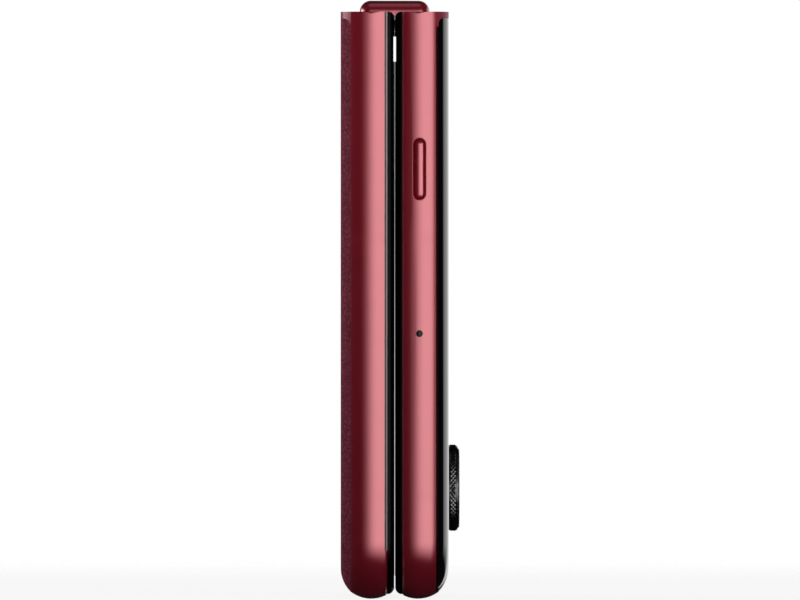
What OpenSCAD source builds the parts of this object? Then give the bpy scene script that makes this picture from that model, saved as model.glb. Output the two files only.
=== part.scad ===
// Clamshell flip phone, folded shut and standing on its free ends, hinge at the top.
// Millimetres. +X is the cover-glass side, +Y the width (power button side), +Z towards the hinge.
// The origin is the middle of the base of the bounding box. The lower half is the one on -X.
// Both halves are drawn flat in their own plan: x is the width, y the height from the free end,
// z the depth outwards from the seam, and in_half() stands them up on either side of the seam.

/* [Body] */
// Width of the phone
body_w = 74; // [70:0.5:78]
// Height of each half, from its free end to its hinge edge
half_h = 86.45; // [80:0.5:92]
// Corner radius at the free ends
corner_r = 9; // [7:0.5:11]
// Corner radius at the hinge edge
hinge_corner_r = 0.3; // [0.2:0.05:0.8]
// Gap between the two halves when shut
closed_gap = 0.16; // [0.12:0.02:0.24]
// Depth of the black rim round the inner display
rim_t = 1; // [0.9:0.05:1.2]
// Depth of the metal rail
rail_t = 5.37; // [5.2:0.01:6]
// Wall of the metal rail
wall_t = 1.6; // [1.4:0.1:1.9]
// Radius of the crowned outer face of the rail
crown_r = 5; // [4.6:0.1:7]
// Depth from the rail's seam edge to the top of its crown
crown_rise = 2.37; // [1.9:0.01:2.6]
// Polished chamfer on the rail's seam edge
rail_chamfer = 0.15; // [0.1:0.01:0.2]
// Thickness of the middle plate of each frame
web_t = 0.8; // [0.6:0.1:1]

/* [Covers] */
// Edge depth of the leather and glass covers
cover_t = 1.5; // [1.3:0.1:1.8]
// Width over which the cover edges curve down
cover_run = 3.5; // [3:0.1:4]
// Thickness of the covers over their inner pocket
cover_skin = 0.7; // [0.6:0.05:0.9]
// Height of the metal lip at the hinge edge
lip_h = 0.95; // [0.8:0.05:1.2]
// Fillet under the lip on the leather side
leather_fillet_r = 1.3; // [1.1:0.1:3]
// Fillet under the lip on the glass side
glass_fillet_r = 1; // [0.9:0.1:2]

/* [Hinge] */
// Distance from the seam to each hinge axis
hinge_offset = 0.95; // [0.92:0.01:1]
// Radius of the rounded edges of the spine
spine_r = 1.64; // [1.5:0.02:1.8]
// Distance between the centres of the spine's rounded edges
spine_pitch = 7; // [6.6:0.1:7.4]
// Wall of the spine cover
spine_wall = 0.5; // [0.4:0.05:0.6]
// Gap from the end of the spine to the rails
spine_end_gap = 0.2; // [0.15:0.05:0.3]
// Radius of the hinge pins
pin_r = 0.4; // [0.35:0.01:0.42]
// Running clearance round the hinge pins
pin_clear = 0.04; // [0.02:0.01:0.06]
// Teeth round each sync gear
gear_teeth = 10; // [10:2:12]
// Face width of the sync gears
gear_w = 0.55; // [0.45:0.05:0.6]
// Thickness of the steel end plates of the spine
end_plate_t = 0.42; // [0.35:0.01:0.45]

/* [Display] */
// Depth of the inner display below the face of its rim
display_recess = 0.3; // [0.25:0.01:0.35]
// Thickness of the flexible display
display_t = 0.3; // [0.25:0.01:0.35]
// Distance from the side of the phone to the edge of the display
display_margin = 3.5; // [3.4:0.05:3.8]
// Width of the rim seen round the display
rim_w = 3.8; // [3.7:0.05:4.1]
// Height of the part of each half's display that bends
fold_h = 7; // [6.5:0.1:7.5]
// Tilt of the wing plates that make room for the fold when shut
wing_tilt = 16; // [15:0.5:17]
// Thickness of the wing plates
wing_t = 0.3; // [0.2:0.05:0.3]
// Distance from the rigid part of the display up to the notches in the rims
notch_up = 0.52; // [0.3:0.02:0.8]
// Height of those notches
notch_h = 4.5; // [3:0.1:5]
// Depth of those notches
notch_d = 0.11; // [0.05:0.01:0.15]
// Height of the raised pads of the rims above the notches
pad_h = 1; // [0.8:0.1:2]

/* [Cameras] */
// Outer diameter of the camera rings
ring_d = 12.8; // [12.6:0.05:13.5]
// Height of the camera rings above the glass
ring_h = 1.4; // [1:0.05:1.6]
// Diameter of the lens windows
window_d = 11.95; // [10.8:0.05:12]
// Height of the lens windows above the rings
window_rise = 0.3; // [0.2:0.05:0.5]
// Height of the camera centres from the free end
camera_z = 16; // [15:0.1:20]
// Distance between the two camera centres
camera_pitch = 15.5; // [15:0.1:18]
// Distance from the side of the phone to the outer camera centre
camera_side = 11.2; // [10.5:0.1:13]

/* [Keys and ports] */
// Depth of the key centres from the seam
key_depth = 3.63; // [3.5:0.01:3.8]
// Length of the key on the left side
side_key_len = 9.15; // [8:0.05:10]
// Width of the key on the left side
side_key_w = 1.92; // [1.8:0.02:2]
// Height of the middle of that key from the free end
side_key_z = 63.3; // [58:0.1:68]
// Length of the power button
power_len = 12; // [10:0.5:13]
// Height of the middle of the power button
power_z = 62; // [58:0.1:66]
// Length of the volume rocker
volume_len = 20; // [17:0.5:22]
// Width of the power button and the volume rocker
button_w = 2; // [1.8:0.1:2.2]
// Height of the middle of the volume rocker
volume_z = 40; // [36:0.1:43]
// How far the keys stand proud of the rail
key_proud = 0.3; // [0.2:0.05:0.4]
// Clearance round each key
key_clear = 0.08; // [0.05:0.01:0.1]
// Travel of the keys
key_travel = 0.25; // [0.15:0.05:0.3]
// Radius of the microphone and speaker holes
mic_r = 0.5; // [0.4:0.05:0.6]
// Height of the side microphone
mic_z = 39.1; // [34:0.1:44]
// Width of the charging port's mouth
port_mouth_w = 8.34; // [8.3:0.01:8.4]
// Height of the charging port's mouth
port_mouth_h = 2.56; // [2.54:0.01:2.6]
// Wall of the charging port's shell
port_wall = 0.28; // [0.2:0.02:0.3]
// Width of the card tray
tray_w = 13; // [12:0.1:14]
// Thickness of the card tray
tray_t = 1.7; // [1.6:0.1:2]
// Distance from the middle of the phone to the card tray
tray_offset = 17; // [15:0.5:18]
// Length of the card tray
tray_len = 18; // [17:0.5:19]
// Height of the outer antenna breaks from the free end
antenna_low_z = 15.2; // [13:0.1:20]
// Height of the inner antenna breaks from the free end
antenna_high_z = 53.2; // [51.5:0.1:54]
// Height of each antenna break
antenna_h = 1.4; // [1:0.1:1.8]

/* [Inside] */
// Thickness of the lower battery
lower_battery_t = 4.4; // [4:0.1:4.8]
// Thickness of the upper battery
upper_battery_t = 3.6; // [3:0.1:4]
// Height of the lower board's top from the free end
lower_board_top = 27.2; // [26:0.1:30]
// Height of the main board's top from the free end
main_board_top = 47.2; // [46:0.1:50]
// Clearance round what sits in the frames
bay_clear = 0.4; // [0.3:0.05:0.5]
// Thickness of the circuit boards
board_t = 0.8; // [0.6:0.05:1]
// Thickness of the cover display
cover_display_t = 0.75; // [0.6:0.05:0.8]
// Radius of the screws
screw_r = 0.6; // [0.5:0.05:0.7]

/* [Hidden] */
$fn = 64;
eps = 0.01;
tie = 0.3;                                   // overlap that joins walls of one solid
rim_d0 = closed_gap / 2;                     // depths from the seam, outwards
rail_d0 = rim_d0 + rim_t;
web_d1 = rail_d0 + web_t;
rail_d1 = rail_d0 + rail_t;
back_d = rail_d1 + cover_t;
pocket_d = back_d - cover_skin;
crown_d = rail_d0 + crown_rise;
ring_top_d = back_d + ring_h;
window_top_d = ring_top_d + window_rise;
seam_x = -(window_top_d - back_d) / 2;       // centres the bounding box on x = 0
rail_in = crown_r - sqrt(pow(crown_r, 2) - pow(crown_rise, 2));
cover_in = crown_r - sqrt(pow(crown_r, 2) - pow(rail_d1 - crown_d, 2));
cover_arc_r = (pow(cover_run, 2) + pow(cover_t, 2)) / (2 * cover_t);
inner_w = body_w / 2 - wall_t;               // half the width between the rails

open_gap = closed_gap;                       // gap between the halves' ends when open
hinge_z = half_h - hinge_offset + open_gap / 2;
round_r = hinge_offset - closed_gap / 2;     // rounding of the rims about the hinge axes
spine_clear = 0.2;                           // from the hinge axes to the spine's flat face
spine_z0 = hinge_z + spine_clear;
spine_half_w = inner_w - spine_end_gap;
sweep_clear = 0.15;
lip_step = 0.02;                             // keeps the lip's edge clear of the rail's crown
pad_d = 0.03;                                // depth of the pads' faces from the seam
side_clear = 0.1;                            // from the rails to the cuts in the rims
bay_r = norm([spine_pitch / 2 - hinge_offset, half_h - hinge_z]) + spine_r + sweep_clear;
plate_inset = 0.35;
end_plate_w1 = spine_half_w - plate_inset;   // outer face of the end plates
end_plate_w0 = end_plate_w1 - end_plate_t;
gear_clear = 0.1;                            // at both faces of the gears
gear_w1 = end_plate_w0 - gear_clear;
gear_w0 = gear_w1 - gear_w;
gear_module = 2 * hinge_offset / gear_teeth;
tooth_rise = 0.78;                           // tooth sizes, as shares of the gears' module
tooth_drop = 1.1;
tooth_tip = 0.3;
tooth_root = 0.72;
gear_tip_r = hinge_offset + tooth_rise * gear_module;
gear_root_r = hinge_offset - tooth_drop * gear_module;
arm_foot_h = 4;
plate_edge = 0.4;                            // from the hinge axes to the end plates' flat edge

display_d0 = rim_d0 + display_recess;        // face, middle and back of the display
display_mid_d = display_d0 + display_t / 2;
display_d1 = display_d0 + display_t;
display_half_w = body_w / 2 - display_margin;
fold_z = hinge_z - fold_h;
flange_clear = 0.03;
flange_t = display_recess - flange_clear;    // rim flange that laps over the display's edge
flange_w = 1.4;
notch_z = fold_z + notch_up;
pad_w = [body_w / 2 - rim_w + flange_w + side_clear,
    body_w / 2 - rail_in - rail_chamfer - rim_t];
arm_d0 = display_d0 + 0.07;                  // depths of the arms' flat sides
arm_d1 = hinge_offset + 0.08;
wing_clear = [0.05, 0.25];                   // behind the display, and above the rigid part
wing_pivot = [display_d1 + wing_clear[0] + wing_t / 2, fold_z + wing_clear[1]];
wing_end = 1.4;                              // from the wing plates to the hinge axes
wing_len = fold_h - wing_end;

ring_r = ring_d / 2;
window_r = window_d / 2;
window_seat = 0.55;                          // width of the ring face that carries the window
ring_bore_r = window_r - window_seat;
ring_flange = 0.6;                           // how far the ring laps over the glass
ring_neck_r = ring_r - ring_flange;
ring_neck_len = 1;
ring_edge = 0.2;                             // bevel on the camera rings
camera_w = [for (i = [0, 1]) body_w / 2 - camera_side - i * camera_pitch];
lens_clear = 0.3;
flash_r = 1.5;
flash_gap = 2.7;
flash_place = [camera_w[0] - camera_pitch / 2, camera_z + ring_r + flash_gap];
selfie_r = 1.6;
selfie_up = 4.5;
selfie_z = display_margin + selfie_up;
selfie_len = 4;
lens_face = 0.3;                             // from the camera modules to their windows
lens_cup = [2, 3.6, 1];                      // radii and depth of the cups round the lenses

pocket_margin = 0.6;
pocket_in = cover_in + cover_run + pocket_margin; // inset of the pocket inside the covers
pocket_drop = 6;
pocket_top = half_h - pocket_drop;
battery_side = 2;
battery_half_w = inner_w - battery_side;
beam_foot = 0.6;
beam_z0 = fold_z - beam_foot;                // foot of the beam that carries the hinge bay
battery_z1 = beam_z0 - bay_clear;            // top of both batteries
board_d0 = web_d1 + board_t;                 // faces of the boards, held off the web by spacers
board_d1 = board_d0 + board_t;
spacer_r = 1.2;
shield_t = 1.4;
shield_wall = 0.3;

fit_gap = [0.16, 0.16];                      // clearance across the slots of the port and tray
port_mouth = [port_mouth_w, port_mouth_h];
port_shell = port_mouth + 2 * [port_wall, port_wall];
port_inset = 0.4;
port_len = 7.3;
tongue = [6.6, 0.7, 5.3];
tray_card = [8.8, 12.3];                     // width and length of the network card
card_t = 0.67;
card_clear = 0.05;
card_start = 4;
tray_floor = 0.6;
tray_step = 0.4;                             // how much narrower the tray is behind its face
tray_hole = [1.3, 0.4, 1];                   // place from its end, radius and depth
end_clear = 0.1;                             // from the free end's wall to what stands at it
speaker_side = 21;                           // from the side to the middle of the speaker
speaker_w = body_w / 2 - speaker_side;
speaker_holes = 6;
speaker_step = 1.9;
speaker_size = [18, 17];
speaker_mouth = [3, 4];                      // side walls and length of the speaker's mouth
mouth_clear = 0.2;
earpiece_size = [7, 3];                      // half its width, and its thickness
earpiece_wall = 1.5;
motor_r = 3.9;
motor_t = 3;
motor_z = 15.6;
key_edge = 0.38;                             // rounding of the keys' outer edges
key_lap = 0.45;                              // flange that keeps each key in its slot
key_seat = 0.05;
switch_gap = 0.05;
rocker_domes = [-0.3, 0.3];                  // places of the domes, as shares of its length
switch_r = 0.8;
switch_h = 0.4;
strip_t = 0.25;

screw_len = 3;
head_r = 2 * screw_r;
head_t = 0.5;
driver_slot = [0.3, 0.25];                   // width and depth
head_clear = 0.1;
screw_w = [for (share = [-0.86, -0.3, 0.3, 0.86]) share * inner_w];
screw_up = 1.4;
beam_screw_z = beam_z0 + screw_up;

detent_r = 0.6;
detent_bore_r = 0.35;
detent_clear = 0.02;
detent_y = [17, 26];                         // ends of the detent springs along the spine
detent_x = 2;                                // from the seam to the axis of each spring
end_round = 0.45;                            // rounding at the ends of the spine
inner_round = 0.02;
ear_r = 0.8;                                 // steel round the pins
ear_clear = 0.15;                            // round the pins in the spine's cover

tray_room = 3;                               // behind the tray, for its reader
spacer_side = 6;
lower_spacers = [-spacer_side, spacer_side, inner_w - spacer_side];
upper_spacers = [spacer_side - inner_w, inner_w - spacer_side];
spacer_drop = [2.6, 3.6];                    // from the boards' tops down to the spacers
front_bay_w = 9;                             // half the notch in the main board
key_bay_w = 4;
shield_side = 9;                             // clearances round the shield
shield_up = 2;
shield_gap = 3;

red = [0.62, 0.13, 0.2];
leather_red = [0.36, 0.12, 0.2];

// ---- placing ----

// Stands a half's plan up: side 1 is the upper half on +X, side -1 the lower half on -X.
module in_half(side) {
    translate([seam_x, 0, 0])
        mirror([side < 0 ? 1 : 0, 0, 0])
            rotate([90, 0, 90])
                children();
}

// A cylinder along the width of a half's plan, centred on the depth d and the height h.
module across(r, w0, w1, d, h) {
    translate([w0, h, d])
        rotate([0, 90, 0])
            cylinder(r = r, h = w1 - w0);
}

// The same on both sides of the phone.
module both_sides() {
    children();
    mirror([1, 0, 0])
        children();
}

// A shape drawn in depth and height, drawn out along the whole width.
module along_width(width) {
    rotate([0, -90, 0])
        linear_extrude(width, center = true)
            children();
}

// A block between two corners of a half's plan.
module block(low, high) {
    translate(low)
        cube(high - low);
}

// ---- sections and sweeps ----

// Outline of a half, set in from its outer edge, up to the height top.
module plan(inset, top) {
    translate([-body_w / 2 + inset, corner_r])
        square([body_w - 2 * inset, top - corner_r]);
    translate([-body_w / 2 + corner_r, inset])
        square([body_w - 2 * corner_r, corner_r]);
    for (side = [-1, 1])
        translate([side * (body_w / 2 - corner_r), corner_r])
            circle(corner_r - inset);
}

// Sweeps a section down one side of a half, round the free end and up the other side.
// In the section x is 0 at the outer edge and y is the depth.
module sweep_round(top = half_h) {
    both_sides() {
        translate([body_w / 2, top, 0])
            rotate([90, 0, 0])
                linear_extrude(top - corner_r)
                    children();
        translate([body_w / 2 - corner_r, corner_r, 0])
            rotate([0, 0, -90])
                rotate_extrude(angle = 90)
                    translate([corner_r, 0])
                        children();
    }
    translate([body_w / 2 - corner_r, 0, 0])
        rotate([90, 0, -90])
            linear_extrude(body_w - 2 * corner_r)
                children();
}

// Crowned rail with a chamfer at its seam edge.
module rail_section() {
    edge = rail_in + rail_chamfer;
    intersection() {
        polygon([[-wall_t, rail_d0], [-edge, rail_d0], [rail_t - edge, rail_d1],
            [-wall_t, rail_d1]]);
        translate([-crown_r, crown_d])
            circle(crown_r);
    }
}

// Edge of the covers, curving from the rail up to the flat back.
module cover_edge_section() {
    intersection() {
        translate([-(cover_in + cover_run), rail_d1])
            square([cover_run, cover_t]);
        translate([-(cover_in + cover_run), back_d - cover_arc_r])
            circle(cover_arc_r);
    }
}

// Quarter-round rim with a thin flange that laps over the display's edge.
module rim_section() {
    outer = rail_in + rail_chamfer / 2;
    intersection() {
        translate([-(rim_w - flange_w), rim_d0])
            square([rim_w - flange_w - outer, rim_t]);
        union() {
            translate([-(outer + rim_t), rail_d0])
                circle(rim_t);
            translate([-rim_w, rim_d0])
                square([rim_w - outer - rim_t, rim_t]);
        }
    }
    translate([-rim_w, rim_d0])
        square([flange_w + tie, flange_t]);
}

// The whole width of a cover as a section, with its foot let into the rail by lap.
module cover_span(lap) {
    flat = body_w / 2 - cover_in - cover_run - lip_step;
    translate([-flat, rail_d1 - lap])
        square([2 * flat, cover_t + lap]);
    for (side = [0, 1])
        mirror([side, 0])
            translate([body_w / 2 - lip_step, 0]) {
                cover_edge_section();
                translate([-(cover_in + cover_run), rail_d1 - lap])
                    square([cover_run, lap]);
            }
}

// Space of the metal lip and of the fillet under it, in depth and height.
module lip_space(fillet_r) {
    reach = sqrt(pow(fillet_r, 2) - pow(fillet_r - cover_t, 2));
    foot = half_h - lip_h;
    along_width(body_w + 2) {
        translate([rail_d1 - tie, foot])
            square([cover_t + tie + 1, lip_h + 1]);
        difference() {
            translate([rail_d1 - tie, foot - reach])
                square([cover_t + tie, reach + eps]);
            translate([rail_d1 + fillet_r, foot - reach])
                circle(fillet_r);
        }
    }
}

// Rounds both corners of a half at its hinge edge.
module hinge_corner_cut() {
    both_sides()
        translate([body_w / 2 - hinge_corner_r, half_h - hinge_corner_r, 0])
            linear_extrude(back_d + 1)
                difference() {
                    square(hinge_corner_r + 1);
                    circle(hinge_corner_r);
                }
}

// Bay that the spine turns through, a drum about the hinge axis.
module hinge_bay() {
    across(bay_r, -inner_w, inner_w, hinge_offset, hinge_z);
    block([-inner_w, fold_z, -eps], [inner_w, half_h + 1, web_d1]);
}

// A flat-sided slot with round ends, size = [length, width], along x and depth deep along z.
module slot(size, depth) {
    run = size[0] - size[1];
    translate([-run / 2, -size[1] / 2, 0])
        cube([run, size[1], depth]);
    for (end = [-1, 1])
        translate([end * run / 2, 0, 0])
            cylinder(d = size[1], h = depth);
}

// Points a shape drawn along z in through the side wall: side 1 is +Y and -1 is -Y.
// Its x runs along the height of the phone.
module in_side(side, h) {
    mirror([side > 0 ? 1 : 0, 0, 0])
        translate([-body_w / 2, h, key_depth])
            rotate([0, 90, 0])
                rotate([0, 0, 90])
                    children();
}

// Points a shape drawn along z in through the free end, with its x along the width.
module in_end(w, d) {
    translate([w, 0, d])
        rotate([-90, 0, 0])
            children();
}

// Space of the antenna breaks in both rails.
module antenna_cuts() {
    both_sides()
        for (h = [antenna_low_z, antenna_high_z])
            block([body_w / 2 - wall_t, h - antenna_h / 2, rail_d0 - eps],
                [body_w / 2 + 1, h + antenna_h / 2, rail_d1 + eps]);
}

module antenna_breaks(side) {
    color([0.55, 0.12, 0.18])
        in_half(side)
            intersection() {
                difference() {
                    sweep_round()
                        rail_section();
                    web_plate();
                }
                antenna_cuts();
            }
}

// Screws that stand in the beam, heads outwards.
module screws(side) {
    color("silver")
        in_half(side)
            for (w = screw_w)
                translate([w, beam_screw_z, rail_d1 - head_t - screw_len]) {
                    cylinder(r = screw_r, h = screw_len);
                    translate([0, 0, screw_len])
                        difference() {
                            cylinder(r = head_r, h = head_t - eps);
                            translate([-head_r, -driver_slot[0] / 2, head_t - driver_slot[1]])
                                cube([2 * head_r, driver_slot[0], head_t]);
                        }
                }
}

module screw_holes() {
    for (w = screw_w)
        translate([w, beam_screw_z, rail_d1 - head_t - screw_len]) {
            cylinder(r = screw_r, h = screw_len + head_t + 1);
            translate([0, 0, screw_len])
                cylinder(r = head_r + head_clear, h = head_t + 1);
        }
}

// ---- frames ----

module web_plate() {
    translate([0, 0, rail_d0])
        linear_extrude(web_t)
            plan((wall_t + rail_in + rail_chamfer) / 2, fold_z);
}

// Rail, middle plate, beam and lip of a half, before its own holes.
module frame_blank(fillet_r) {
    difference() {
        union() {
            sweep_round()
                rail_section();
            web_plate();
            block([-inner_w - tie, beam_z0, rail_d0 + eps], [inner_w + tie, half_h, rail_d1]);
            intersection() {
                translate([0, half_h, 0])
                    rotate([90, 0, 0])
                        linear_extrude(half_h / 2)
                            cover_span(tie);
                lip_space(fillet_r);
            }
        }
        hinge_bay();
        hinge_corner_cut();
        screw_holes();
    }
}

// Row of sound holes through the rail at the free end.
module speaker_row(middle) {
    for (i = [0:speaker_holes - 1])
        in_end(middle + (i - (speaker_holes - 1) / 2) * speaker_step, crown_d)
            cylinder(r = mic_r, h = wall_t + eps);
}

module lower_frame() {
    color(red)
        in_half(-1)
            difference() {
                frame_blank(leather_fillet_r);
                difference() {
                    antenna_cuts();
                    web_plate();
                }
                in_end(0, crown_d)
                    translate([0, 0, -eps])
                        slot(port_shell + fit_gap, port_inset + port_len + bay_clear);
                in_end(-tray_offset, crown_d)
                    translate([0, 0, -eps])
                        slot([tray_w, tray_t] + fit_gap, 2 * wall_t);
                speaker_row(speaker_w);
                in_end(-port_mouth_w, crown_d)
                    cylinder(r = mic_r, h = wall_t + eps);
            }
}

module upper_frame() {
    color(red)
        in_half(1)
            difference() {
                frame_blank(glass_fillet_r);
                difference() {
                    antenna_cuts();
                    web_plate();
                }
                key_slot(-1, side_key_z, [side_key_len, side_key_w]);
                key_slot(1, power_z, [power_len, button_w]);
                key_slot(1, volume_z, [volume_len, button_w]);
                in_side(-1, mic_z)
                    cylinder(r = mic_r, h = wall_t + eps);
                translate([0, selfie_z, 0])
                    cylinder(r = selfie_r + bay_clear, h = web_d1 + eps);
                speaker_row(0);
            }
}

// ---- covers ----

// Dished cover with curved edges and an inner pocket.
module dished_cover(fillet_r) {
    difference() {
        union() {
            sweep_round()
                cover_edge_section();
            translate([0, 0, rail_d1])
                linear_extrude(cover_t)
                    plan(cover_in + cover_run, half_h);
        }
        translate([0, 0, rail_d1 - eps])
            linear_extrude(pocket_d - rail_d1 + eps)
                plan(pocket_in, pocket_top);
        lip_space(fillet_r);
    }
}

module lower_back_cover() {
    color(leather_red)
        in_half(-1)
            dished_cover(leather_fillet_r);
}

module cover_glass() {
    color([0.12, 0.12, 0.14])
        in_half(1)
            difference() {
                dished_cover(glass_fillet_r);
                for (w = camera_w)
                    translate([w, camera_z, rail_d1 - eps])
                        cylinder(r = ring_neck_r, h = cover_t + 1);
            }
}

module cover_display() {
    color([0.05, 0.05, 0.07])
        in_half(1)
            difference() {
                translate([0, 0, pocket_d - cover_display_t])
                    linear_extrude(cover_display_t)
                        plan(pocket_in + bay_clear, pocket_top - bay_clear);
                for (w = camera_w)
                    translate([w, camera_z, 0])
                        cylinder(r = ring_neck_r + lens_clear, h = back_d);
                translate(concat(flash_place, 0))
                    cylinder(r = flash_r + lens_clear, h = back_d);
            }
}

// ---- rims and inner display ----

module rim(side) {
    color([0.05, 0.05, 0.06])
        in_half(side)
            difference() {
                union() {
                    sweep_round()
                        rim_section();
                    both_sides()
                        block([pad_w[0], notch_z + notch_h, pad_d],
                            [pad_w[1], notch_z + notch_h + pad_h, rail_d0]);
                }
                both_sides()
                    block([body_w / 2 - rim_w - 1, notch_z, -1],
                        [body_w / 2, notch_z + notch_h, rim_d0 + notch_d]);
                hinge_corner_cut();
                along_width(body_w + 2)
                    difference() {
                        translate([-1, hinge_z])
                            square([1 + hinge_offset, half_h - hinge_z + 1]);
                        translate([hinge_offset, hinge_z])
                            circle(round_r);
                    }
                block([side_clear - inner_w, hinge_z - bay_r, hinge_offset + side_clear],
                    [inner_w - side_clear, half_h + 1, rail_d0 + 1]);
                block([side_clear - inner_w, hinge_z - gear_tip_r - sweep_clear, -1],
                    [inner_w - side_clear, half_h + 1, rail_d0 + 1]);
            }
}

module display_panel(side, d0, d1, hole) {
    in_half(side)
        difference() {
            translate([0, 0, d0])
                linear_extrude(d1 - d0)
                    plan(display_margin, fold_z);
            if (hole > 0)
                translate([0, selfie_z, 0])
                    cylinder(r = hole, h = rail_d0 + 1);
        }
}

// Middle line of the folded display, from its rigid edge (t = 0) to the seam (t = 1). At every
// t the strip has turned by the same eased angle that unrolls it flat when the phone opens.
fold_lean = [sin(60), cos(60)];
fold_k = hinge_offset - display_mid_d;
fold_q0 = fold_k * fold_lean[0] - fold_h * fold_lean[1];
fold_q1 = hinge_offset * fold_lean[0] - fold_k * fold_lean[1];
function fold_turn(t) = 90 * t * t * (3 - 2 * t);
function fold_along(t, c, s) = (fold_q0 + t * (fold_q1 - fold_q0)
    - fold_k * (c * fold_lean[0] - s * fold_lean[1])) / (s * fold_lean[0] + c * fold_lean[1]);
function fold_point(t, c, s, z) = [hinge_offset - fold_k * c - z * s, hinge_z - fold_k * s + z * c];
function fold_mid(t) = let (c = cos(fold_turn(t)), s = sin(fold_turn(t)))
    fold_point(t, c, s, fold_along(t, c, s));
fold_steps = 20;
function fold_side(off) = [for (i = [0:fold_steps])
    let (t = i / fold_steps, p = fold_mid(t),
        a = fold_mid(max(t - 0.01, 0)), b = fold_mid(min(t + 0.01, 1)), n = (b - a) / norm(b - a))
    t == 0 ? p + [off, 0] : [t == 1 ? 0 : p[0] + off * n[1], p[1] - off * n[0]]];
function flipped(points) = [for (i = [len(points) - 1:-1:0]) [-points[i][0], points[i][1]]];

module display_fold() {
    inner = fold_side(-display_t / 2);
    outer = fold_side(display_t / 2);
    color([0.02, 0.02, 0.03])
        translate([seam_x, 0, 0])
            rotate([90, 0, 0])
                linear_extrude(2 * display_half_w, center = true)
                    polygon(concat(inner, flipped([for (i = [0:fold_steps - 1]) inner[i]]),
                        [for (p = outer) [-p[0], p[1]]],
                        [for (i = [fold_steps - 1:-1:0]) outer[i]]));
}

// ---- hinge ----

// One sync gear tooth by tooth, on the hinge axis, turned by phase.
module sync_gear(phase) {
    half_tip = tooth_tip * gear_module;
    half_root = tooth_root * gear_module;
    cylinder(r = gear_root_r, h = gear_w);
    for (i = [0:gear_teeth - 1])
        rotate([0, 0, phase + i * 360 / gear_teeth])
            linear_extrude(gear_w)
                polygon([[gear_root_r - 0.1, -half_root], [gear_tip_r, -half_tip],
                    [gear_tip_r, half_tip], [gear_root_r - 0.1, half_root]]);
}

// Arms of a half: each ends in a sync gear that turns on a hinge pin.
module hinge_arms(side, phase) {
    foot_z = beam_z0 - arm_foot_h;
    color([0.6, 0.6, 0.62])
        in_half(side)
            both_sides()
                difference() {
                    union() {
                        translate([gear_w0, hinge_z, hinge_offset])
                            rotate([0, 90, 0])
                                sync_gear(phase);
                        block([gear_w0, foot_z, arm_d0], [gear_w1, hinge_z, arm_d1]);
                        block([gear_w0, foot_z, arm_d0],
                            [gear_w1, foot_z + arm_foot_h, rail_d0]);
                    }
                    across(pin_r + pin_clear, gear_w0 - eps, gear_w1 + eps, hinge_offset, hinge_z);
                }
}

module wing_plate(side) {
    color([0.5, 0.5, 0.52])
        in_half(side)
            translate([0, wing_pivot[1], wing_pivot[0]])
                rotate([wing_tilt, 0, 0]) {
                    across(wing_t / 2, -display_half_w, display_half_w, 0, 0);
                    block([-display_half_w, 0, -wing_t / 2], [display_half_w, wing_len, wing_t / 2]);
                }
}

// Bar with rounded edges along the width, cut off flat at the spine's inner face.
module spine_bar(r, half_w, end_r) {
    intersection() {
        translate([seam_x, 0, half_h])
            rotate([90, 0, 0]) {
                for (side = [-1, 1])
                    translate([side * spine_pitch / 2, 0, 0])
                        rotate_extrude()
                            bar_section(r, half_w, end_r);
                translate([-spine_pitch / 2, 0, 0])
                    rotate([90, 0, 90])
                        linear_extrude(spine_pitch)
                            union() {
                                bar_section(r, half_w, end_r);
                                mirror([1, 0])
                                    bar_section(r, half_w, end_r);
                            }
            }
        translate([seam_x - 2 * spine_pitch, -body_w / 2, spine_z0])
            cube([4 * spine_pitch, body_w, half_h]);
    }
}

// Half the length section of that bar, with rounded ends.
module bar_section(r, half_w, end_r) {
    square([r - end_r, half_w]);
    square([r, half_w - end_r]);
    translate([r - end_r, half_w - end_r])
        circle(end_r);
    mirror([0, 1]) {
        square([r - end_r, half_w]);
        square([r, half_w - end_r]);
        translate([r - end_r, half_w - end_r])
            circle(end_r);
    }
}

// Rods along both hinge axes.
module axis_rods(r, w0, w1) {
    for (side = [-1, 1], end = [0, 1])
        translate([seam_x + side * hinge_offset, 0, hinge_z])
            mirror([0, end, 0])
                translate([0, w1, 0])
                    rotate([90, 0, 0])
                        cylinder(r = r, h = w1 - w0);
}

module spine_cover() {
    color(red)
        difference() {
            spine_bar(spine_r, spine_half_w, end_round);
            spine_bar(spine_r - spine_wall, end_plate_w1 + inner_round, inner_round);
            axis_rods(pin_r + ear_clear, end_plate_w0, spine_half_w + 1);
        }
}

module spine_base() {
    color([0.55, 0.55, 0.58])
        difference() {
            spine_bar(spine_r - spine_wall, gear_w0 - gear_clear, inner_round);
            detent_rods(detent_r + detent_clear, detent_clear);
        }
}

// Rods at the places of the detent springs, longer by more at each end.
module detent_rods(r, more) {
    for (side = [-1, 1], end = [0, 1])
        translate([seam_x + side * detent_x, 0, half_h])
            mirror([0, end, 0])
                translate([0, detent_y[1] + more, 0])
                    rotate([90, 0, 0])
                        cylinder(r = r, h = detent_y[1] - detent_y[0] + 2 * more);
}

module detent_springs() {
    color("gainsboro")
        difference() {
            detent_rods(detent_r, 0);
            detent_rods(detent_bore_r, 1);
        }
}

// Steel plates inside the ends of the spine, which hold the pins.
module spine_end_plates() {
    color([0.7, 0.7, 0.72])
        difference() {
            union() {
                axis_rods(ear_r, end_plate_w0, end_plate_w1);
                for (end = [0, 1])
                    mirror([0, end, 0])
                        intersection() {
                            spine_bar(spine_r - spine_wall, end_plate_w1, inner_round);
                            translate([seam_x - spine_pitch, end_plate_w0, hinge_z + plate_edge])
                                cube([2 * spine_pitch, end_plate_t, half_h]);
                        }
            }
            axis_rods(pin_r, end_plate_w0 - eps, end_plate_w1 + eps);
        }
}

module hinge_pins() {
    color("silver")
        axis_rods(pin_r, gear_w0, end_plate_w1);
}

// ---- lower half ----

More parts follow.
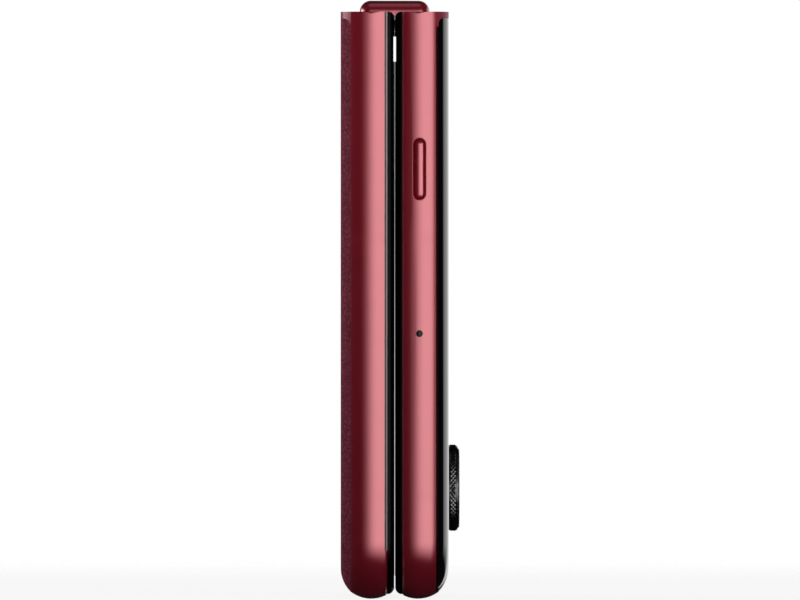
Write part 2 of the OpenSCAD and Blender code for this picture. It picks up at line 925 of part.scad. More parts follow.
module lower_battery() {
    color([0.2, 0.2, 0.22])
        in_half(-1)
            block([-battery_half_w, lower_board_top + bay_clear, web_d1],
                [battery_half_w, battery_z1, web_d1 + lower_battery_t]);
}

// Board with spacers under it, inside the rails and below the battery.
module board_blank(top, spacers) {
    translate([0, 0, board_d0])
        linear_extrude(board_t)
            plan(wall_t + bay_clear, top);
    for (place = spacers)
        translate([place[0], place[1], web_d1])
            cylinder(r = spacer_r, h = board_t);
}

module lower_board() {
    color("darkgreen")
        in_half(-1)
            difference() {
                board_blank(lower_board_top,
                    [for (w = lower_spacers) [w, lower_board_top - spacer_drop[0]]]);
                block([-port_shell[0] / 2 - bay_clear, 0, 0],
                    [port_shell[0] / 2 + bay_clear, port_inset + port_len + bay_clear, back_d]);
                block([-inner_w, 0, 0],
                    [-tray_offset + tray_w / 2 + bay_clear, tray_len + tray_room, back_d]);
                block([speaker_w - speaker_size[0] / 2 - bay_clear, 0, 0],
                    [inner_w, speaker_size[1] + bay_clear, back_d]);
            }
}

module usb_port() {
    color("gainsboro")
        in_half(-1)
            in_end(0, crown_d)
                translate([0, 0, port_inset]) {
                    difference() {
                        slot(port_shell, port_len);
                        translate([0, 0, -1])
                            slot(port_mouth, port_len + 1 - port_wall);
                    }
                    translate([-tongue[0] / 2, -tongue[1] / 2, port_len - tongue[2]])
                        cube(tongue);
                }
}

module loudspeaker() {
    low = [speaker_w - speaker_size[0] / 2, wall_t + end_clear, web_d1];
    color([0.15, 0.15, 0.16])
        in_half(-1)
            difference() {
                block(low, [low[0] + speaker_size[0], speaker_size[1], rail_d1 - bay_clear]);
                block([low[0] + speaker_mouth[0], 0, crown_d - mic_r - mouth_clear],
                    [low[0] + speaker_size[0] - speaker_mouth[0], speaker_mouth[1],
                        crown_d + mic_r + mouth_clear]);
            }
}

module vibration_motor() {
    color("silver")
        in_half(-1)
            translate([-inner_w + motor_r + bay_clear, motor_z, web_d1])
                cylinder(r = motor_r, h = motor_t);
}

module sim_tray() {
    color(red)
        in_half(-1)
            in_end(-tray_offset, crown_d)
                difference() {
                    union() {
                        intersection() {
                            slot([tray_w, tray_t], wall_t);
                            translate([0, 0, crown_r])
                                rotate([0, 90, 0])
                                    cylinder(r = crown_r, h = 2 * tray_w, center = true);
                        }
                        translate([tray_step - tray_w / 2, end_clear - tray_t / 2, wall_t - tie])
                            cube([tray_w - 2 * tray_step, tray_t - tray_step,
                                tray_len - wall_t + tie]);
                    }
                    translate([-tray_card[0] / 2 - card_clear, tray_floor - tray_t / 2, card_start])
                        cube([tray_card[0] + 2 * card_clear, tray_t, tray_card[1] + 2 * card_clear]);
                    translate([tray_w / 2 - tray_hole[0], 0, -eps])
                        cylinder(r = tray_hole[1], h = tray_hole[2]);
                }
}

module sim_card() {
    color("gold")
        in_half(-1)
            in_end(-tray_offset, crown_d)
                translate([-tray_card[0] / 2, tray_floor - tray_t / 2, card_start + card_clear])
                    cube([tray_card[0], card_t, tray_card[1]]);
}

// ---- upper half ----

module upper_battery() {
    color([0.2, 0.2, 0.22])
        in_half(1)
            block([-battery_half_w, main_board_top + bay_clear, web_d1],
                [battery_half_w, battery_z1, web_d1 + upper_battery_t]);
}

module main_board() {
    color("darkgreen")
        in_half(1)
            difference() {
                board_blank(main_board_top,
                    [for (w = upper_spacers) [w, main_board_top - spacer_drop[1]]]);
                for (w = camera_w)
                    translate([w, camera_z, 0])
                        cylinder(r = ring_bore_r + bay_clear, h = back_d);
                block([-front_bay_w, 0, 0],
                    [front_bay_w, selfie_z + selfie_r + bay_clear, back_d]);
                both_sides()
                    block([inner_w - key_bay_w, volume_z - volume_len, 0],
                        [inner_w, half_h, back_d]);
            }
}

// Folded sheet can over the chips of the main board.
module board_shield() {
    low = [shield_side - inner_w, camera_z + ring_r + shield_up, board_d1];
    high = [flash_place[0] - flash_r - shield_gap, main_board_top - shield_gap,
        board_d1 + shield_t];
    color("silver")
        in_half(1)
            difference() {
                block(low, high);
                block(low + [shield_wall, shield_wall, -1],
                    high - [shield_wall, shield_wall, shield_wall]);
            }
}

// Knurled ring round a camera, with a neck that goes down through the glass.
module camera_ring(i) {
    color([0.08, 0.08, 0.09])
        in_half(1)
            translate([camera_w[i], camera_z, 0])
                rotate_extrude()
                    polygon([[ring_bore_r, pocket_d - ring_neck_len],
                        [ring_neck_r, pocket_d - ring_neck_len], [ring_neck_r, back_d],
                        [ring_r - ring_edge, back_d], [ring_r, back_d + ring_edge],
                        [ring_r, ring_top_d - ring_edge], [ring_r - ring_edge, ring_top_d],
                        [ring_bore_r, ring_top_d]]);
}

// Lens window with a rounded edge, seated on the ring.
module camera_window(i) {
    color([0.1, 0.1, 0.12])
        in_half(1)
            translate([camera_w[i], camera_z, ring_top_d])
                rotate_extrude() {
                    square([window_r - window_rise, window_rise]);
                    intersection() {
                        square([window_r, window_rise]);
                        translate([window_r - window_rise, 0])
                            circle(window_rise);
                    }
                }
}

// Camera in its barrel, from the web up to just under its window.
module camera_module(i) {
    len = ring_top_d - web_d1 - lens_face;
    color([0.1, 0.1, 0.1])
        in_half(1)
            translate([camera_w[i], camera_z, web_d1])
                difference() {
                    cylinder(r = ring_bore_r - sweep_clear, h = len);
                    translate([0, 0, len - lens_cup[2]])
                        cylinder(r1 = lens_cup[0], r2 = lens_cup[1], h = lens_cup[2] + eps);
                }
}

module flash_lamp() {
    color("ivory")
        in_half(1)
            translate(concat(flash_place, board_d1))
                cylinder(r = flash_r, h = pocket_d - board_d1);
}

module selfie_camera() {
    color([0.08, 0.08, 0.1])
        in_half(1)
            translate([0, selfie_z, display_d0 + end_clear])
                cylinder(r = selfie_r - end_clear, h = selfie_len);
}

module earpiece() {
    high = [earpiece_size[0], selfie_z - selfie_r - bay_clear, web_d1 + earpiece_size[1]];
    color([0.15, 0.15, 0.16])
        in_half(1)
            difference() {
                block([-high[0], wall_t + end_clear, web_d1], high);
                block([earpiece_wall - high[0], 0, crown_d - mic_r - mouth_clear],
                    [high[0] - earpiece_wall, wall_t + 1, crown_d + mic_r + mouth_clear]);
            }
}

// ---- keys ----

// Slot in a side rail for a key of the given size.
module key_slot(side, h, size) {
    in_side(side, h)
        translate([0, 0, -1])
            slot(size + 2 * [key_clear, key_clear], wall_t + 1 + eps);
}

// A key with rounded edges and a flange behind the rail that keeps it in.
module key(side, h, size) {
    run = size[0] - size[1];
    depth = key_proud + wall_t + key_seat;
    in_half(1)
        in_side(side, h)
            translate([0, 0, -key_proud]) {
                for (end = [-1, 1])
                    translate([end * run / 2, 0, 0])
                        rotate_extrude()
                            key_section(size[1] / 2, depth);
                translate([-run / 2, 0, 0])
                    rotate([90, 0, 90])
                        linear_extrude(run) {
                            key_section(size[1] / 2, depth);
                            mirror([1, 0])
                                key_section(size[1] / 2, depth);
                        }
                translate([0, 0, depth - eps])
                    slot(size + 2 * [key_lap, key_lap], key_lap);
            }
}

module key_section(r, depth) {
    translate([0, key_edge])
        square([r, depth - key_edge]);
    square([r - key_edge, depth]);
    translate([r - key_edge, key_edge])
        circle(key_edge);
}

module side_key() {
    color(red)
        key(-1, side_key_z, [side_key_len, side_key_w]);
}

module power_button() {
    color(red)
        key(1, power_z, [power_len, button_w]);
}

module volume_rocker() {
    color(red)
        key(1, volume_z, [volume_len, button_w]);
}

// Dome switches behind the keys, on strips that stand on the web.
module key_switches() {
    color([0.7, 0.6, 0.3])
        in_half(1) {
            key_switch(-1, side_key_z, side_key_len, [0]);
            key_switch(1, power_z, power_len, [0]);
            key_switch(1, volume_z, volume_len, rocker_domes);
        }
}

module key_switch(side, h, len, shares) {
    in_side(side, h)
        translate([0, 0, wall_t + key_seat + key_lap + key_travel + switch_gap]) {
            for (share = shares)
                translate([share * len, 0, 0])
                    cylinder(r = switch_r, h = switch_h);
            translate([-len / 2, -(key_depth - web_d1), switch_h - eps])
                cube([len, key_depth - web_d1 + switch_r, strip_t]);
        }
}

// ---- what is drawn ----

lower_frame();
lower_back_cover();
rim(-1);  // lower_rim
color([0.02, 0.02, 0.03]) display_panel(-1, display_d0, display_d1, 0);  // lower_display
color("silver") display_panel(-1, display_d1, rail_d0, 0);  // lower_display_plate
antenna_breaks(-1);  // lower_antenna_breaks
lower_battery();
lower_board();
usb_port();
loudspeaker();
vibration_motor();
sim_tray();
sim_card();
hinge_arms(-1, 0);  // lower_hinge_arms
wing_plate(-1);  // lower_wing_plate
screws(-1);  // lower_screws
spine_cover();
spine_base();
spine_end_plates();
hinge_pins();
detent_springs();
display_fold();
upper_frame();
cover_glass();
cover_display();
rim(1);  // upper_rim
color([0.02, 0.02, 0.03]) display_panel(1, display_d0, display_d1, selfie_r);  // upper_display
color("silver") display_panel(1, display_d1, rail_d0, selfie_r + 0.3);  // upper_display_plate
antenna_breaks(1);  // upper_antenna_breaks
upper_battery();
main_board();
board_shield();
camera_ring(0);  // main_camera_ring
camera_ring(1);  // wide_camera_ring
camera_window(0);  // main_camera_window
camera_window(1);  // wide_camera_window
camera_module(0);  // main_camera_module
camera_module(1);  // wide_camera_module
flash_lamp();
selfie_camera();
earpiece();
side_key();
power_button();
volume_rocker();
key_switches();
hinge_arms(1, 180 / gear_teeth);  // upper_hinge_arms
wing_plate(1);  // upper_wing_plate
screws(1);  // upper_screws
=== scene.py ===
"""Flip phone with a folding inner display, shut and standing on its free ends.

Metres, in the frame of the CAD: +X is the cover-glass side, +Y the power-button side and +Z
points to the hinge. Each half's own plan has a width, a height from the free end and a depth
outwards from the seam.
"""

import logging
import math
from collections.abc import Sequence
from dataclasses import dataclass
from enum import Enum

import bmesh
import bpy
from mathutils import Matrix, Vector


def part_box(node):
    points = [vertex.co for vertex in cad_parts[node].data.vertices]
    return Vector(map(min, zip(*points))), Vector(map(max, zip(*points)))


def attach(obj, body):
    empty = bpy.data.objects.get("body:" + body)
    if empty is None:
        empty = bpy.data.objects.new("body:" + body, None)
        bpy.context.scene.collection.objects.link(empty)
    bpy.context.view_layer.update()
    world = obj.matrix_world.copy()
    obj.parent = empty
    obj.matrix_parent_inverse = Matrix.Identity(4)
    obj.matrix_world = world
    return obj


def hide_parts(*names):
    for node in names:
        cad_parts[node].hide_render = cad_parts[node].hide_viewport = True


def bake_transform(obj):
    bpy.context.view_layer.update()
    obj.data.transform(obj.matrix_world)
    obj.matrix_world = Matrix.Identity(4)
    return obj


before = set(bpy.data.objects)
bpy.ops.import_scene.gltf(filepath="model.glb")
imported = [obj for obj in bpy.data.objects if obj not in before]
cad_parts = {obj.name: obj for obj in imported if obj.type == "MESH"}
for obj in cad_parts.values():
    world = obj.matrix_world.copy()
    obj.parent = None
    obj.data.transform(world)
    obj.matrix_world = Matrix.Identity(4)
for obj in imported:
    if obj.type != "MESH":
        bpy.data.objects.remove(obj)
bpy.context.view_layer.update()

LOG = logging.getLogger("flip_phone")
MM = 0.001
FULL_TURN = 2 * math.pi
TOUCH = 1e-7

Pair = tuple[float, float]
Triple = tuple[float, float, float]
Colour = Triple
Socket = bpy.types.NodeSocket
Vert, Edge, Face = bmesh.types.BMVert, bmesh.types.BMEdge, bmesh.types.BMFace


class Side(Enum):
    """The two halves, by the way their depth points along X."""

    LOWER = -1
    UPPER = 1


class Grain(Enum):
    """The fine relief of a surface."""

    BLASTED = "fine pits of bead blasting"
    BRUSHED = "fine lines along the width"
    PEBBLED = "leather pebbles with creases between them"
    MOULDED = "fine spark-eroded mould texture"
    POLISHED = "slight waviness"
    CRINKLED = "shallow folds of foil"
    PUNCHED = "rows of small round holes"


# ---- materials ----


class NodeTree:
    """A tree of shader nodes, and what adds to it."""

    def __init__(self, tree: bpy.types.NodeTree, place: str) -> None:
        """Takes up a tree, with the texture coordinate that its nodes read."""
        self.tree = tree
        self.place = self.node("ShaderNodeTexCoord").outputs[place]

    def node(self, kind: str, **settings: object) -> bpy.types.Node:
        """Adds a node.

        Args:
            kind: Blender's name for the type of node.
            settings: Properties to set on it.

        Returns:
            The new node.
        """
        made = self.tree.nodes.new(kind)
        for key, value in settings.items():
            setattr(made, key, value)
        return made

    def feed(self, socket: Socket, value: Socket | float | Colour) -> None:
        """Links a socket, or sets it to a constant.

        Args:
            socket: The input to feed.
            value: An output to link, a number or a colour.
        """
        if isinstance(value, Socket):
            self.tree.links.new(value, socket)
        elif isinstance(value, tuple) and socket.type == "RGBA":
            socket.default_value = (*value, 1)
        else:
            socket.default_value = value

    def stretched(self, stretch: Triple) -> Socket:
        """The object's coordinates, scaled along each axis."""
        mapping = self.node("ShaderNodeMapping", vector_type="POINT")
        self.feed(mapping.inputs["Vector"], self.place)
        mapping.inputs["Scale"].default_value = stretch
        return mapping.outputs["Vector"]

    def noise(self, pitch: float, detail: float = 2, stretch: Triple = (1, 1, 1)) -> Socket:
        """Cloudy noise.

        Args:
            pitch: Size of its lumps in millimetres.
            detail: Number of finer layers.
            stretch: Scale of the coordinates along each axis.

        Returns:
            Its value from 0 to 1.
        """
        made = self.node("ShaderNodeTexNoise")
        self.feed(made.inputs["Vector"], self.stretched(stretch))
        made.inputs["Scale"].default_value = 1 / (pitch * MM)
        made.inputs["Detail"].default_value = detail
        return made.outputs["Fac"]

    def cells(self, pitch: float, feature: str = "F1", output: str = "Distance",
              stretch: Triple = (1, 1, 1), scatter: float = 1,
              metric: str = "EUCLIDEAN") -> Socket:
        """Voronoi cells.

        Args:
            pitch: Size of a cell in millimetres.
            feature: Which of the cells' features is measured.
            output: The node's output to read.
            stretch: Scale of the coordinates along each axis.
            scatter: How far the cells stray from a square grid, 0 to 1.
            metric: How distances are measured.

        Returns:
            That output.
        """
        made = self.node("ShaderNodeTexVoronoi", feature=feature, distance=metric)
        self.feed(made.inputs["Vector"], self.stretched(stretch))
        made.inputs["Scale"].default_value = 1 / (pitch * MM)
        made.inputs["Randomness"].default_value = scatter
        return made.outputs[output]

    def math(self, operation: str, *values: Socket | float) -> Socket:
        """The result of a Math node."""
        made = self.node("ShaderNodeMath", operation=operation)
        for socket, value in zip(made.inputs, values):
            self.feed(socket, value)
        return made.outputs["Value"]

    def ramp(self, value: Socket, low: float, high: float,
             out_low: float = 0, out_high: float = 1) -> Socket:
        """Maps a value smoothly from low..high to out_low..out_high."""
        made = self.node("ShaderNodeMapRange", interpolation_type="SMOOTHSTEP")
        for key, number in (("From Min", low), ("From Max", high), ("To Min", out_low),
                            ("To Max", out_high)):
            made.inputs[key].default_value = number
        self.feed(made.inputs["Value"], value)
        return made.outputs["Result"]

    def mix(self, factor: Socket, first: Socket | Colour, second: Socket | Colour) -> Socket:
        """Blends two colours by a factor."""
        made = self.node("ShaderNodeMix", data_type="RGBA")
        self.feed(made.inputs["Factor"], factor)
        self.feed(made.inputs["A"], first)
        self.feed(made.inputs["B"], second)
        return made.outputs["Result"]

    def axis(self, letter: str) -> Socket:
        """One of the object's coordinates, in metres."""
        made = self.node("ShaderNodeSeparateXYZ")
        self.feed(made.inputs["Vector"], self.place)
        return made.outputs[letter]

    def band(self, value: Socket, low: float, high: float, soft: float) -> Socket:
        """1 where a value lies from low to high, falling to 0 over soft on both sides."""
        rise = self.ramp(value, low - soft, low)
        fall = self.ramp(value, high, high + soft, 1, 0)
        return self.math("MULTIPLY", rise, fall)

    def bump(self, height: Socket, depth: float, under: Socket | None = None) -> Socket:
        """Turns a height into a normal.

        Args:
            height: Height from 0 to 1.
            depth: Depth of the relief in millimetres.
            under: A coarser relief that this one lies on.

        Returns:
            The normal.
        """
        made = self.node("ShaderNodeBump")
        made.inputs["Distance"].default_value = depth * MM
        made.inputs["Strength"].default_value = 1
        self.feed(made.inputs["Height"], height)
        if under is not None:
            self.feed(made.inputs["Normal"], under)
        return made.outputs["Normal"]

    def curve(self, value: Socket, stops: list[Pair], half: float) -> Socket:
        """A brightness along a value.

        Args:
            value: The value, from -half to half.
            stops: Places along it, each with the brightness there.
            half: Half the value's range.

        Returns:
            The brightness.
        """
        made = self.node("ShaderNodeValToRGB")
        self.feed(made.inputs["Fac"],
                  self.math("DIVIDE", self.math("ADD", value, half), 2 * half))
        marks = made.color_ramp.elements
        for place, bright in stops:
            marks.new((place + half) / (2 * half)).color = (bright, bright, bright, 1)
        marks.remove(marks[0])
        marks.remove(marks[-1])
        return made.outputs["Color"]

    def seen(self) -> Socket:
        """1 for rays from the camera, straight or through glass, and else 0."""
        rays = self.node("ShaderNodeLightPath").outputs
        return self.math("MAXIMUM", rays["Is Camera Ray"], rays["Is Transmission Ray"])


class MaterialTree(NodeTree):
    """One material's nodes, with a Principled shader to feed."""

    def __init__(self, name: str) -> None:
        """Starts a material called name."""
        self.material = bpy.data.materials.new(name)
        self.material.use_nodes = True
        super().__init__(self.material.node_tree, "Object")
        self.shader = self.tree.nodes["Principled BSDF"]

    def put(self, name: str, value: Socket | float | Colour) -> None:
        """Feeds one of the shader's inputs."""
        self.feed(self.shader.inputs[name], value)


@dataclass(frozen=True)
class Finish:
    """A finish with a mottled colour, a grain and the usual shader numbers; sizes in mm."""

    name: str
    colour: Colour
    shade: Colour
    grain: Grain
    pitch: float
    relief: float
    metallic: float = 0
    roughness: float = 0.4
    rough_spread: float = 0.06
    coat: float = 0
    coat_ior: float = 1.5
    coat_roughness: float = 0.1
    specular: float = 0.5
    transmission: float = 0
    mottle: float = 6

    def height(self, nodes: MaterialTree) -> Socket:
        """The grain's height from 0 to 1."""
        if self.grain is Grain.BRUSHED:
            return nodes.noise(self.pitch, 3, (1, 0.02, 1))
        if self.grain is Grain.CRINKLED:
            return nodes.cells(self.pitch, "SMOOTH_F1")
        if self.grain is Grain.MOULDED:
            return nodes.cells(self.pitch)
        if self.grain is Grain.PUNCHED:
            return nodes.ramp(nodes.cells(self.pitch, stretch=(0, 1, 1), scatter=0), 0.2, 0.26)
        return nodes.noise(self.pitch, 2)

    def colours(self, nodes: MaterialTree) -> Socket:
        """The colour, mottled between colour and shade."""
        return nodes.mix(nodes.ramp(nodes.noise(self.mottle, 4), 0.35, 0.7),
                         self.colour, self.shade)

    def dress_shader(self, nodes: MaterialTree) -> None:
        """Sets the colour, the roughness and the relief."""
        nodes.put("Base Color", self.colours(nodes))
        nodes.put("Roughness", nodes.ramp(nodes.noise(self.mottle / 3, 3), 0.3, 0.7,
                                          self.roughness - self.rough_spread,
                                          self.roughness + self.rough_spread))
        normal = nodes.bump(self.height(nodes), self.relief)
        nodes.put("Normal", normal)
        if self.coat:
            nodes.put("Coat Normal", normal)

    def material(self) -> bpy.types.Material:
        """Makes the material, or returns it if it is made already."""
        found = bpy.data.materials.get(self.name)
        if found:
            return found
        nodes = MaterialTree(self.name)
        for key, number in (("Metallic", self.metallic), ("Coat Weight", self.coat),
                            ("Coat IOR", self.coat_ior),
                            ("Coat Roughness", self.coat_roughness),
                            ("Specular IOR Level", self.specular),
                            ("Transmission Weight", self.transmission)):
            nodes.put(key, number)
        self.dress_shader(nodes)
        return nodes.material

    def on(self, *objects: bpy.types.Object) -> None:
        """Puts the finish on objects."""
        for each in objects:
            each.data.materials.clear()
            each.data.materials.append(self.material())

    def on_nodes(self, *names: str) -> None:
        """Puts the finish on CAD nodes."""
        for name in names:
            self.on(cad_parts[name])
            LOG.info("%s: %s", name, self.name)


@dataclass(frozen=True)
class RailFinish(Finish):
    """Anodised rail; its diamond-cut edge by the seam is raw metal with a painted highlight."""

    seam: float = -0.85
    side: Side = Side.LOWER
    cut: float = 0
    cut_foot: float = 7.4
    cut_top: float = 86.3
    fade: float = 0.4
    # width of the painted shade line just beyond the cut edge
    line: float = 0.16
    soft: float = 0.02
    # depth from the seam where painted shade starts at the outer edge by the glass
    groove_shade: float = 9
    groove_soft: float = 0.08
    lip: float = 6.46
    lip_soft: float = 0.1
    lip_foot: float = 84.1
    lip_fade: float = 0.3
    lip_share: float = 0.1
    # flat near-white of the cut edge: raw metal, brightened as a painted highlight for its glint
    bare_metal_and_glint: Colour = (0.95, 0.87, 0.86)
    # painted shade: the line beside the cut and the outer edge by the glass are darkened in colour
    dark: Colour = (0.025, 0.003, 0.005)
    satin: Colour = (0.5, 0.08, 0.13)

    def dress_shader(self, nodes: MaterialTree) -> None:
        """Paints a highlight on the raw-metal cut edge, and painted shade on the line beside it
        and by the glass.
        """
        super().dress_shader(nodes)
        depth = nodes.math("MULTIPLY", nodes.math("SUBTRACT", nodes.axis("X"), self.seam * MM),
                           float(self.side.value))
        height = nodes.band(nodes.axis("Z"), self.cut_foot * MM, self.cut_top * MM,
                            self.fade * MM)
        rise, soft = self.cut * MM, self.soft * MM
        # raw metal at the cut edge, drawn near-white with no metal or coat: part real, part
        # painted highlight
        bare_and_glint_mask = nodes.math("MULTIPLY", nodes.ramp(depth, rise - soft, rise + soft, 1, 0), height)
        # painted shade in a thin line just beyond the cut
        line = nodes.math("MULTIPLY", height,
                          nodes.band(depth, rise + soft, rise + self.line * MM, soft))
        below = nodes.ramp(nodes.axis("Z"), self.lip_foot * MM,
                           (self.lip_foot + self.lip_fade) * MM, 1, 0)
        # painted shade at the rail's outer edge by the glass, below the lip
        groove_shade = nodes.math("MULTIPLY", below, nodes.ramp(
            depth, self.groove_shade * MM, (self.groove_shade + self.groove_soft) * MM))
        lip = nodes.math("MULTIPLY", nodes.ramp(
            depth, (self.lip - self.lip_soft) * MM, self.lip * MM), 1 - self.lip_share)
        painted_shade_mask = nodes.math("MAXIMUM", line, groove_shade)
        plain = nodes.math("SUBTRACT", 1.0,
                           nodes.math("MAXIMUM", nodes.math("MAXIMUM", bare_and_glint_mask, painted_shade_mask), lip))
        # the rail's red, turning to painted shade in those two bands and to satin on the lip
        red = nodes.mix(painted_shade_mask, nodes.mix(lip, self.colours(nodes), self.satin), self.dark)
        nodes.put("Base Color", nodes.mix(bare_and_glint_mask, red, self.bare_metal_and_glint))
        for key, number in (("Metallic", self.metallic), ("Coat Weight", self.coat)):
            nodes.put(key, nodes.math("MULTIPLY", plain, float(number)))


@dataclass(frozen=True)
class LeatherFinish(Finish):
    """Grained leather: pebbles of two sizes with painted shade in the creases between them."""

    # painted shade for the creases between the pebbles
    painted_crease_shade: Colour = (0.24, 0.036, 0.068)

    def dress_shader(self, nodes: MaterialTree) -> None:
        """Pebbles raised between creases, with pores on them."""
        warp = nodes.node("ShaderNodeTexNoise")
        nodes.feed(warp.inputs["Vector"], nodes.place)
        warp.inputs["Scale"].default_value = 0.6 / (self.pitch * MM)
        offset = nodes.node("ShaderNodeVectorMath", operation="MULTIPLY_ADD")
        nodes.feed(offset.inputs[0], warp.outputs["Color"])
        offset.inputs[1].default_value = (self.pitch * MM,) * 3
        nodes.feed(offset.inputs[2], nodes.place)
        edges = []
        for share in (1.0, 0.45):
            cell = nodes.node("ShaderNodeTexVoronoi", feature="DISTANCE_TO_EDGE")
            nodes.feed(cell.inputs["Vector"], offset.outputs["Vector"])
            cell.inputs["Scale"].default_value = 1 / (self.pitch * share * MM)
            edges.append(cell.outputs["Distance"])
        coarse = nodes.ramp(edges[0], 0, 0.22)
        fine = nodes.ramp(edges[1], 0, 0.2)
        pebble = nodes.math("MULTIPLY_ADD", fine, 0.35, nodes.math("MULTIPLY", coarse, 0.65))
        # painted shade: the creases between pebbles take the darker colour
        nodes.put("Base Color", nodes.mix(pebble, self.painted_crease_shade, self.colours(nodes)))
        nodes.put("Roughness", nodes.ramp(pebble, 0, 1, self.roughness + 0.2, self.roughness))
        nodes.put("Normal", nodes.bump(nodes.noise(self.pitch * 0.2, 4), self.relief * 0.25,
                                       nodes.bump(pebble, self.relief)))


@dataclass(frozen=True)
class CoverGlassFinish(Finish):
    """Dark gloss glass that shows the flash's pale lens and the display behind it."""

    flash_y: float = 0
    flash_z: float = 0
    flash_r: float = 1.4
    ridge: float = 0.28
    lit_y: float = 31
    lit_low: float = 6
    lit_high: float = 78
    lamp: Colour = (0.62, 0.58, 0.4)
    # darker copy of the lamp's colour: painted shade on the lens's ridges
    lamp_ridge_shade: Colour = (0.4, 0.36, 0.22)

    def dress_shader(self, nodes: MaterialTree) -> None:
        """Shows the flash's lens in its round window, with painted light and shade for its ridges,
        and tints the panel beside it.
        """
        super().dress_shader(nodes)
        offsets = [nodes.math("SUBTRACT", nodes.axis(letter), centre * MM)
                   for letter, centre in (("Y", self.flash_y), ("Z", self.flash_z))]
        squares = [nodes.math("POWER", offset, 2.0) for offset in offsets]
        far = nodes.math("SQRT", nodes.math("ADD", *squares))
        disc = nodes.ramp(far, (self.flash_r - 0.1) * MM, self.flash_r * MM, 1, 0)
        # painted light and shade: the ridges are rings of a lighter and a darker copy of the
        # lamp's colour
        ridge_light_and_shade = nodes.math("SINE", nodes.math("MULTIPLY", far, FULL_TURN / (self.ridge * MM)))
        lamp = nodes.mix(nodes.ramp(ridge_light_and_shade, -1, 1), self.lamp, self.lamp_ridge_shade)
        panel = nodes.math("MULTIPLY", *(
            nodes.band(nodes.axis(letter), low * MM, high * MM, 0.2 * MM)
            for letter, low, high in (("Y", -self.lit_y, self.lit_y),
                                      ("Z", self.lit_low, self.lit_high))))
        tinted = nodes.mix(panel, self.colour, self.shade)
        nodes.put("Base Color", nodes.mix(disc, tinted, lamp))


@dataclass(frozen=True)
class BoardFinish(Finish):
    """Circuit board: solder mask over traces, with plated pads and small dark chips."""

    copper: Colour = (0.03, 0.17, 0.08)
    pad: Colour = (0.75, 0.6, 0.3)
    chip: Colour = (0.015, 0.015, 0.017)
    trace_pitch: float = 0.5
    chip_pitch: float = 2.2

    def dress_shader(self, nodes: MaterialTree) -> None:
        """Traces from stretched cells, pads and chips from a square grid of cells."""
        across, along = (nodes.cells(self.trace_pitch, "DISTANCE_TO_EDGE", stretch=stretch)
                         for stretch in ((1, 1, 0.12), (1, 0.12, 1)))
        region = nodes.ramp(nodes.noise(7), 0.49, 0.51)
        trace = nodes.ramp(nodes.mix(region, across, along), 0.05, 0.07, 1, 0)
        reach, tone = (nodes.cells(self.chip_pitch, output=output, scatter=0.6,
                                   metric="CHEBYCHEV") for output in ("Distance", "Color"))
        parts = nodes.node("ShaderNodeSeparateColor")
        nodes.feed(parts.inputs["Color"], tone)
        kind = parts.outputs["Red"]
        is_chip = nodes.math("MULTIPLY", nodes.ramp(reach, 0.24, 0.25, 1, 0),
                             nodes.math("GREATER_THAN", kind, 0.6))
        is_pad = nodes.math("MULTIPLY", nodes.ramp(reach, 0.12, 0.13, 1, 0),
                            nodes.math("LESS_THAN", kind, 0.3))
        plated = nodes.mix(is_pad, nodes.mix(trace, self.colour, self.copper), self.pad)
        nodes.put("Base Color", nodes.mix(is_chip, plated, self.chip))
        nodes.put("Metallic", is_pad)
        raised = nodes.math("ADD", nodes.math("MULTIPLY", trace, 0.2), is_chip)
        nodes.put("Normal", nodes.bump(raised, self.relief))
        nodes.put("Roughness", self.roughness)


RED = dict(colour=(0.73, 0.029, 0.068), shade=(0.7, 0.026, 0.062), grain=Grain.BLASTED,
           pitch=0.06, relief=0.0008, metallic=0.42, roughness=0.3, rough_spread=0.015, coat=1,
           coat_ior=2.14, coat_roughness=0.22, specular=0.1)
ANODISED = Finish("red anodised", **RED)
LOWER_RAIL = RailFinish("red anodised rail, leather side", **RED, cut=1.31)
UPPER_RAIL = RailFinish("red anodised rail, glass side", **RED, side=Side.UPPER, groove_shade=6.05)
KEY_RED = Finish("red anodised keys", **(RED | dict(roughness=0.26, coat_roughness=0.2)))
PLASTIC_RED = RED | dict(roughness=0.32, coat_roughness=0.24, grain=Grain.MOULDED, pitch=0.08)
LOWER_BREAK = RailFinish("red antenna plastic, leather side", **PLASTIC_RED, cut=1.31)
UPPER_BREAK = RailFinish("red antenna plastic, glass side", **PLASTIC_RED, side=Side.UPPER,
                         groove_shade=6.05)
LEATHER = LeatherFinish("grained leather", (0.54, 0.086, 0.152), (0.47, 0.072, 0.13),
                        Grain.PEBBLED, pitch=0.7, relief=0.07, roughness=0.68, specular=0.06)
RIM = Finish("black rim", (0.0015, 0.0015, 0.0018), (0.002, 0.002, 0.0024), Grain.POLISHED,
             pitch=3, relief=0.0004, roughness=0.2, rough_spread=0.03, specular=0.06)
DISPLAY = Finish("folding display film", (0.004, 0.004, 0.005), (0.006, 0.006, 0.008),
                 Grain.POLISHED, pitch=9, relief=0.0015, roughness=0.09, rough_spread=0.02, coat=1,
                 coat_roughness=0.04)
GLASS = CoverGlassFinish("cover glass", (0.004, 0.004, 0.005), (0.007, 0.007, 0.009),
                         Grain.POLISHED, pitch=20, relief=0.0006, roughness=0.05,
                         rough_spread=0.01, coat=1, coat_roughness=0.02, flash_y=18.05,
                         flash_z=25.1)
PANEL = Finish("cover display panel", (0.008, 0.008, 0.01), (0.01, 0.01, 0.013), Grain.POLISHED,
               pitch=10, relief=0.0005, roughness=0.12)
STEEL = Finish("satin steel", (0.55, 0.55, 0.56), (0.48, 0.48, 0.5), Grain.BRUSHED, pitch=0.05,
               relief=0.0015, metallic=1, roughness=0.3)
